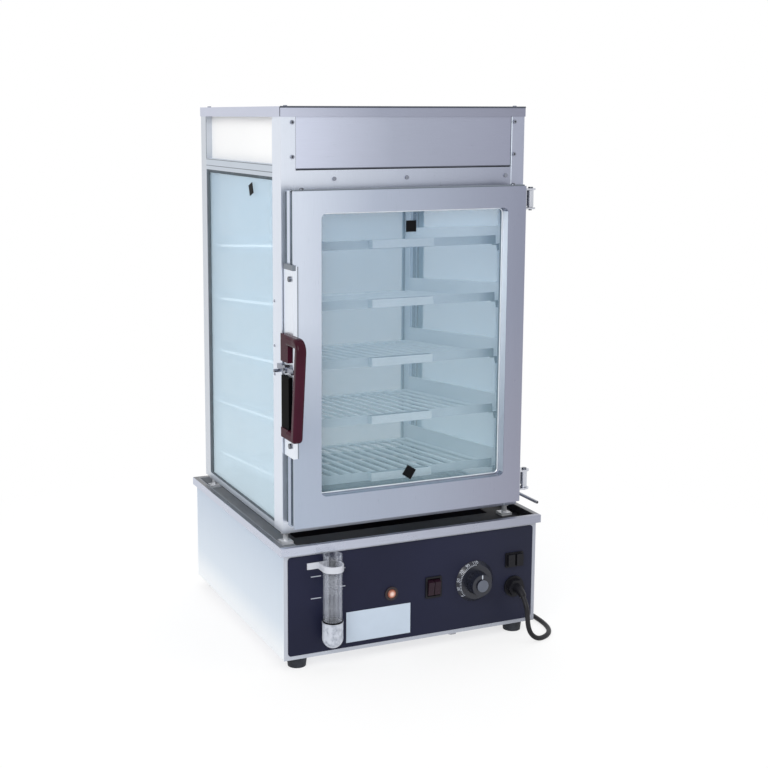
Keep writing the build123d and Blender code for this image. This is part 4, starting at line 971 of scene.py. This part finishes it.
def makeRailTabShades(s):
    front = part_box("rack_rails")[0].y
    x0, x1 = s["x"]
    bottom, top = s["z"]
    # dark strips at the rails' right front ends: painted shade
    bm = bmesh.new()
    for drop in railDrops:
        addBox(bm, (x0, front - s["thick"], bottom - drop), (x1, front, top - drop), s["corner"], 1)
    newPiece("railTabShades", bm, "line", "cabinet")


def makeRailGlints(s):
    # on the same slope as the racks
    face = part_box("rack_rails")[1].x
    slope = math.radians(s["slope"])
    frontY, frontZ = s["front"]
    middleY = (frontY + s["back"]) / 2
    middleZ = frontZ - math.tan(slope) * (middleY - frontY)
    size = (s["proud"], (s["back"] - frontY) / math.cos(slope), s["tall"])
    turned = Matrix.Rotation(-slope, 4, "X") @ Matrix.Diagonal((*size, 1))
    # painted highlights: bright glowing strips along the rails' rolled edges
    bm = bmesh.new()
    for outwards in (-1, 1):
        for drop in railDrops:
            centre = (outwards * (face + s["proud"] / 2), middleY, middleZ - drop)
            addBlock(bm, Matrix.Translation(centre) @ turned, s["corner"], 1)
    newPiece("railGlints", bm, "glint", "cabinet")


makeRailTabShades(railTabSettings)
makeRailGlints(railGlintSettings)
print("rails dressed")


# Panes: the bright bead round the door's window as a painted highlight, and the dark lines along the side
# panes' edges, partly their seals and partly painted shade

windowBeadSettings = {"corner": 0.008, "inset": 0.0012, "radius": 0.0013}
glassLineSettings = {"side": 0.0090, "top": 0.0016, "thick": 0.0009, "corner": 0.0003}


def roundedPath(low, high, corner, y, steps=6):
    points = []
    middles = [(high[0] - corner, high[1] - corner, 0), (low[0] + corner, high[1] - corner, 90),
               (low[0] + corner, low[1] + corner, 180), (high[0] - corner, low[1] + corner, 270)]
    for x, z, first in middles:
        for step in range(steps + 1):
            angle = math.radians(first + 90 * step / steps)
            points.append((x + corner * math.cos(angle), y, z + corner * math.sin(angle)))
    return points


def makeWindowBead(s):
    # a bright ring just inside the window: painted highlight on the window's rounded edge
    inset = s["inset"]
    low, high = doorWindow["low"], doorWindow["high"]
    path = roundedPath((low[0] + inset, low[1] + inset), (high[0] - inset, high[1] - inset),
                       s["corner"] - inset, glassLow.y - s["radius"] * 0.8)
    makeWire("windowBead", "POLY", path, s["radius"], "bead", "door", closed=True)


def makeGlassLines(s):
    bm = bmesh.new()
    # dark strips on the side panes' back and top edges: partly seals, partly painted shade
    for name, outwards in (("glass_left", -1), ("glass_right", 1)):
        low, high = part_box(name)
        face = low.x if outwards < 0 else high.x
        x0, x1 = sorted((face, face + outwards * s["thick"]))
        edge = high.y - s["side"]
        addBox(bm, (x0, edge, low.z), (x1, high.y, high.z), s["corner"], 1)
        addBox(bm, (x0, low.y, high.z - s["top"]), (x1, edge, high.z), s["corner"], 1)
    newPiece("glassLines", bm, "line", "cabinet")


makeWindowBead(windowBeadSettings)
makeGlassLines(glassLineSettings)
print("panes edged")


# Header: the cover's dark front edge and corner seam, painted shade at the folds on its sides and by the
# back posts, the joint round its panel

coverEdgeSettings = {"radius": 0.0013, "proud": 0.001, "seamIn": 0.0002, "seamBack": 0.0014,
                     "seamLow": 0.0006, "seamHigh": 0.0008}
foldSettings = {"heights": (0.7185, 0.7285), "tall": 0.0011, "proud": 0.0004, "upright": 0.0016,
                "corner": 0.0001}
headerSeamSettings = {"tall": 0.0016, "proud": 0.0004, "sideShare": 0.4, "corner": 0.0001}


def makeCoverEdges(s):
    radius = s["radius"]
    front = postLow.y - s["proud"]
    y = front + radius * 0.3
    z = coverHigh.z - radius * 0.6
    ends = [(coverLow.x, y, z), (coverHigh.x, y, z)]
    makeWire("coverEdge", "POLY", ends, radius, "edge", "cabinet")
    x = coverLow.x + s["seamIn"]
    y = front + s["seamBack"]
    ends = [(x, y, coverLow.z + s["seamLow"]), (x, y, coverHigh.z - s["seamHigh"])]
    makeWire("coverSeam", "POLY", ends, radius * 0.7, "edge", "cabinet")


def makeFolds(s):
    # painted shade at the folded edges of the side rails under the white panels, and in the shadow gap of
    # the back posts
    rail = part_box("upper_rails")[1]
    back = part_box("header_side_panels")[1].y
    half = s["tall"] / 2
    bm = bmesh.new()
    for outwards in (-1, 1):
        face = rail.x * outwards
        x0, x1 = sorted((face, face + outwards * s["proud"]))
        for z in s["heights"]:
            addBox(bm, (x0, postHigh.y, z - half), (x1, back, z + half), s["corner"], 1)
        addBox(bm, (x0, back - s["upright"], rail.z), (x1, back, coverLow.z), s["corner"], 1)
    newPiece("railFolds", bm, "fold", "cabinet")


def makeHeaderSeam(s):
    low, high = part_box("header_front_panel")
    front = low.y - s["proud"]
    half = s["tall"] / 2
    bm = bmesh.new()
    addBox(bm, (low.x, front, low.z - half), (high.x, low.y, low.z + half), s["corner"], 1)
    for side, edge in ((1, low.x), (-1, high.x)):
        x0, x1 = sorted((edge, edge + side * s["tall"] * s["sideShare"]))
        addBox(bm, (x0, front, low.z + half), (x1, low.y, coverLow.z), s["corner"], 1)
    newPiece("headerSeam", bm, "edge", "cabinet")


makeCoverEdges(coverEdgeSettings)
makeFolds(foldSettings)
makeHeaderSeam(headerSeamSettings)
print("header edged")


# Door: studs on its top edge; painted shade as dark strips in the gap over it, along the latch plate's
# folded edges and as the cap on its top end

doorStudSettings = {
    "radius": 0.0034,
    "height": 0.0048,
    "shape": [(0.0, 0.0), (1.0, 0.0), (1.0, 7 / 12), (0.75, 0.875), (0.0, 1.0)],
    "x": (-0.1775, 0.1600),
    "back": 0.0045,
}
doorLineSettings = {
    "gap": {"tall": 0.0020, "inset": 0.0012, "end": 0.0020},
    "fold": {"wide": 0.0014, "proud": 0.0004},
    "cap": {"tall": 0.0060, "over": 0.0020, "proud": 0.0008, "back": 0.0020, "reach": 0.0042},
    "corner": 0.0003,
    "foldCorner": 0.0002,
}


def makeDoorStuds(s):
    places = [(x, doorLow.y + s["back"], doorHigh.z) for x in s["x"]]
    makeHeads("doorStuds", s, places, "Z", 16, "rivet", "door")


def makeDoorLines(s):
    gap, fold, cap = s["gap"], s["fold"], s["cap"]
    plateLow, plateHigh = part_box("latch_plate")
    bm = bmesh.new()
    # painted shade in the gap over the door
    addBox(bm, (doorLow.x + gap["end"], doorLow.y + gap["inset"], doorHigh.z),
           (doorHigh.x - gap["end"], doorHigh.y - gap["inset"], doorHigh.z + gap["tall"]), s["corner"], 1)
    # painted shade at the plate's fold
    addBox(bm, (plateHigh.x - fold["wide"], plateLow.y - fold["proud"], plateLow.z),
           (plateHigh.x, plateLow.y, plateHigh.z), s["foldCorner"], 1)
    # the cap: painted shade over the plate's top end
    front = plateLow.y - cap["proud"]
    bottom = plateHigh.z - cap["tall"]
    top = plateHigh.z + cap["over"]
    addBox(bm, (plateLow.x, front, bottom), (plateLow.x + cap["reach"], plateLow.y, top), s["corner"], 1)
    addBox(bm, (plateLow.x - cap["proud"], front, bottom), (plateLow.x, plateHigh.y - cap["back"], top),
           s["corner"], 1)
    newPiece("doorLines", bm, "fold", "door")


makeDoorStuds(doorStudSettings)
makeDoorLines(doorLineSettings)
print("door edged")


# Sight gauge: the thin tube inside the outer one and the seal on the elbow

gaugeSettings = {"radius": 0.0085, "wall": 0.0012, "rise": 0.003, "drop": 0.004, "seal": 0.0011,
                 "steps": 32}


def makeGaugeParts(s):
    low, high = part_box("gauge_tube")
    centre = (low + high) / 2
    bottom = low.z + s["rise"]
    tall = high.z - s["drop"] - bottom
    radius = s["radius"]
    bore = radius - s["wall"]
    profile = [(0.0, 0.0), (radius, 0.0), (radius, tall), (bore, tall), (bore, s["wall"]),
               (0.0, s["wall"])]
    bm = bmesh.new()
    addTurned(bm, profile, (centre.x, centre.y, bottom), "Z", s["steps"])
    closeUp(bm)
    smooth(newPiece("innerTube", bm, "gaugeGlass", "cabinet"), 40)
    outer = (high.x - low.x) / 2
    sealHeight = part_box("gauge_elbow")[1].z + s["seal"]
    angles = [math.tau * step / s["steps"] for step in range(s["steps"])]
    ring = [(centre.x + outer * math.cos(angle), centre.y + outer * math.sin(angle), sealHeight)
            for angle in angles]
    makeWire("gaugeSeal", "POLY", ring, s["seal"], "dark", "cabinet", closed=True)


makeGaugeParts(gaugeSettings)
print("gauge dressed")


# Dial: a printed scale on the skirt's slope, a cap and a pointer on the grip

dialSettings = {
    "numbers": [("0", 222), ("30", 196), ("50", 170), ("70", 144), ("90", 118), ("110", 92)],
    "size": 0.0066,
    "ink": 0.0001,
    "ticks": 26,
    "sweep": (222, 92),
    "tickLong": 0.0022,
    "tickWide": 0.0008,
    "tickShare": 0.86,             # 0 at the skirt's outer edge, 1 at its inner edge
    "numberShare": 0.42,
    "panelGap": 0.0006,
    "skirtRadius": 0.032,
    "topRadius": 0.0265,
    "skirtThick": 0.007,
    "lift": 0.00015,
}
capSettings = {
    "radius": 0.0094,
    "height": 0.0008,
    "shape": [(0.0, 0.0), (1.0, 0.0), (1.0, 0.4), (0.9, 0.8), (0.5, 1.0), (0.0, 1.1)],
}
pointerSettings = {"wide": 0.0018, "tall": 0.0062, "low": 0.0102, "deep": (0.0012, 0.0022),
                   "corner": 0.0002}
knobCentre = boxCentre("thermostat_knob")
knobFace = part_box("thermostat_knob")[0].y


def outAt(angle):
    return Vector((math.cos(angle), 0, math.sin(angle)))


def dialPlace(s, angle, share):
    radius = s["skirtRadius"] + (s["topRadius"] - s["skirtRadius"]) * share
    y = panelFront - s["panelGap"] - s["skirtThick"] * share
    return Vector((knobCentre.x, y, knobCentre.z)) + outAt(angle) * radius


def dialMatrix(s, angle, share):
    # stands a flat mark on the slope, its top towards the rim
    slope = math.atan2(s["skirtRadius"] - s["topRadius"], s["skirtThick"])
    normal = (outAt(angle) * math.cos(slope) + Vector((0, -1, 0)) * math.sin(slope)).normalized()
    up = (dialPlace(s, angle, 0) - dialPlace(s, angle, 1)).normalized()
    side = up.cross(normal)
    turn = Matrix((side, up, normal)).transposed().to_4x4()
    return Matrix.Translation(dialPlace(s, angle, share) + normal * s["lift"]) @ turn


def addNumber(bm, text, size, thick, shape):
    data = bpy.data.curves.new("dialNumber", "FONT")
    data.body = text
    data.size = size
    data.align_x = "CENTER"
    data.align_y = "CENTER"
    data.extrude = thick / 2
    item = bpy.data.objects.new("dialNumber", data)
    scene.collection.objects.link(item)
    bpy.context.view_layer.update()
    mesh = bpy.data.meshes.new_from_object(item)
    mesh.transform(shape)
    bm.from_mesh(mesh)
    bpy.data.objects.remove(item)
    bpy.data.meshes.remove(mesh)
    bpy.data.curves.remove(data)


def makeDialMarks(s):
    first, last = s["sweep"]
    bm = bmesh.new()
    for tick in range(s["ticks"]):
        angle = math.radians(first + (last - first) * tick / (s["ticks"] - 1))
        size = Matrix.Diagonal((s["tickWide"], s["tickLong"], s["ink"], 1))
        addBlock(bm, dialMatrix(s, angle, s["tickShare"]) @ size)
    for text, degrees in s["numbers"]:
        shape = dialMatrix(s, math.radians(degrees), s["numberShare"])
        addNumber(bm, text, s["size"], s["ink"], shape)
    newPiece("dialMarks", bm, "mark", "dial")


def makePointer(s):
    near, far = s["deep"]
    bottom = knobCentre.z + s["low"]
    bm = bmesh.new()
    addBox(bm, (knobCentre.x - s["wide"] / 2, knobFace + near, bottom),
           (knobCentre.x + s["wide"] / 2, knobFace + far, bottom + s["tall"]), s["corner"], 1)
    newPiece("dialPointer", bm, "mark", "dial")


makeDialMarks(dialSettings)
capPlace = (knobCentre.x, knobFace, knobCentre.z)
makeHeads("dialCap", capSettings, [capPlace], "-Y", 40, "cap", "dial")
makePointer(pointerSettings)
print("dial marked")


# Floor, world and lamps

floorSettings = {
    "half": 12.0,
    "paper": (0.9, 0.9, 0.9, 1.0),
    "glow": (0.7, 1.0),            # share of plain white near the object and far from it
    "fadeStart": 0.25,             # distance from which it rises, and how fast
    "fadeRate": 1.4,
}
plainWhite = (1.0, 1.0, 1.0, 1.0)
roomStrength = 0.62
lampSettings = {
    "key": {"place": (-2.6, -2.6, 2.6), "size": 2.4, "power": 95.0},
    "fill": {"place": (2.8, -2.2, 1.8), "size": 2.2, "power": 30.0},
    "top": {"place": (0.2, 0.4, 3.2), "size": 2.6, "power": 30.0},
    "back": {"place": (1.2, 3.0, 2.0), "size": 2.2, "power": 30.0},
}
lampAim = Vector((0, 0, 0.4))
insideSettings = {"place": (0.0, 0.03, 0.718), "size": (0.26, 0.26), "power": 0.4}


def seenDirectly(f):
    path = f.node("ShaderNodeLightPath")
    outputs = path.socket.node.outputs
    seen = [Wire(f, outputs[name]) for name in ("Is Camera Ray", "Is Glossy Ray", "Is Transmission Ray")]
    return f.clamp(seen[0] + seen[1] + seen[2])


def floorFinish(s):
    f = Finish("paleFloor")
    paper = f.node("ShaderNodeBsdfDiffuse", {}, {"Color": s["paper"]})
    glow = f.node("ShaderNodeEmission", {}, {"Color": plainWhite, "Strength": 1.0})
    x, y, z = f.axes()
    low, high = s["glow"]
    outwards = f.clamp(((x * x + y * y) ** 0.5 - s["fadeStart"]) * s["fadeRate"])
    f.close(f.node("ShaderNodeMixShader", {}, {
        0: seenDirectly(f) * (outwards * (high - low) + low), 1: paper, 2: glow}))
    return f.owner


def makeFloor(s):
    bm = bmesh.new()
    bmesh.ops.create_grid(bm, x_segments=2, y_segments=2, size=s["half"])
    floor = meshObject("floor", bm, floorFinish(s))


def makeWorld(room):
    world = bpy.data.worlds.new("studio")
    scene.world = world
    f = Finish("studio", world)
    strength = seenDirectly(f) * (1.0 - room) + room
    sky = f.node("ShaderNodeBackground", {}, {"Color": plainWhite, "Strength": strength})
    f.node("ShaderNodeOutputWorld", {}, {"Surface": sky})


def addLamp(name, s, direction):
    data = bpy.data.lights.new(name, "AREA")
    data.energy = s["power"]
    lamp = bpy.data.objects.new(name, data)
    lamp.location = s["place"]
    lamp.rotation_euler = direction.to_track_quat("-Z", "Y").to_euler()
    scene.collection.objects.link(lamp)
    return lamp


def makeLamps():
    for name, s in lampSettings.items():
        lamp = addLamp(name, s, lampAim - Vector(s["place"]))
        lamp.data.size = s["size"]
        lamp.visible_glossy = name == "key"


def lightInside(s):
    # the light that reaches the racks through the panes and the white header
    lamp = addLamp("ceiling", s, Vector((0, 0, -1)))
    lamp.data.shape = "RECTANGLE"
    lamp.data.size, lamp.data.size_y = s["size"]
    lamp.visible_camera = False
    lamp.visible_glossy = False


makeFloor(floorSettings)
makeWorld(roomStrength)
makeLamps()
lightInside(insideSettings)
scene.view_settings.view_transform = "Standard"
print("studio lit")
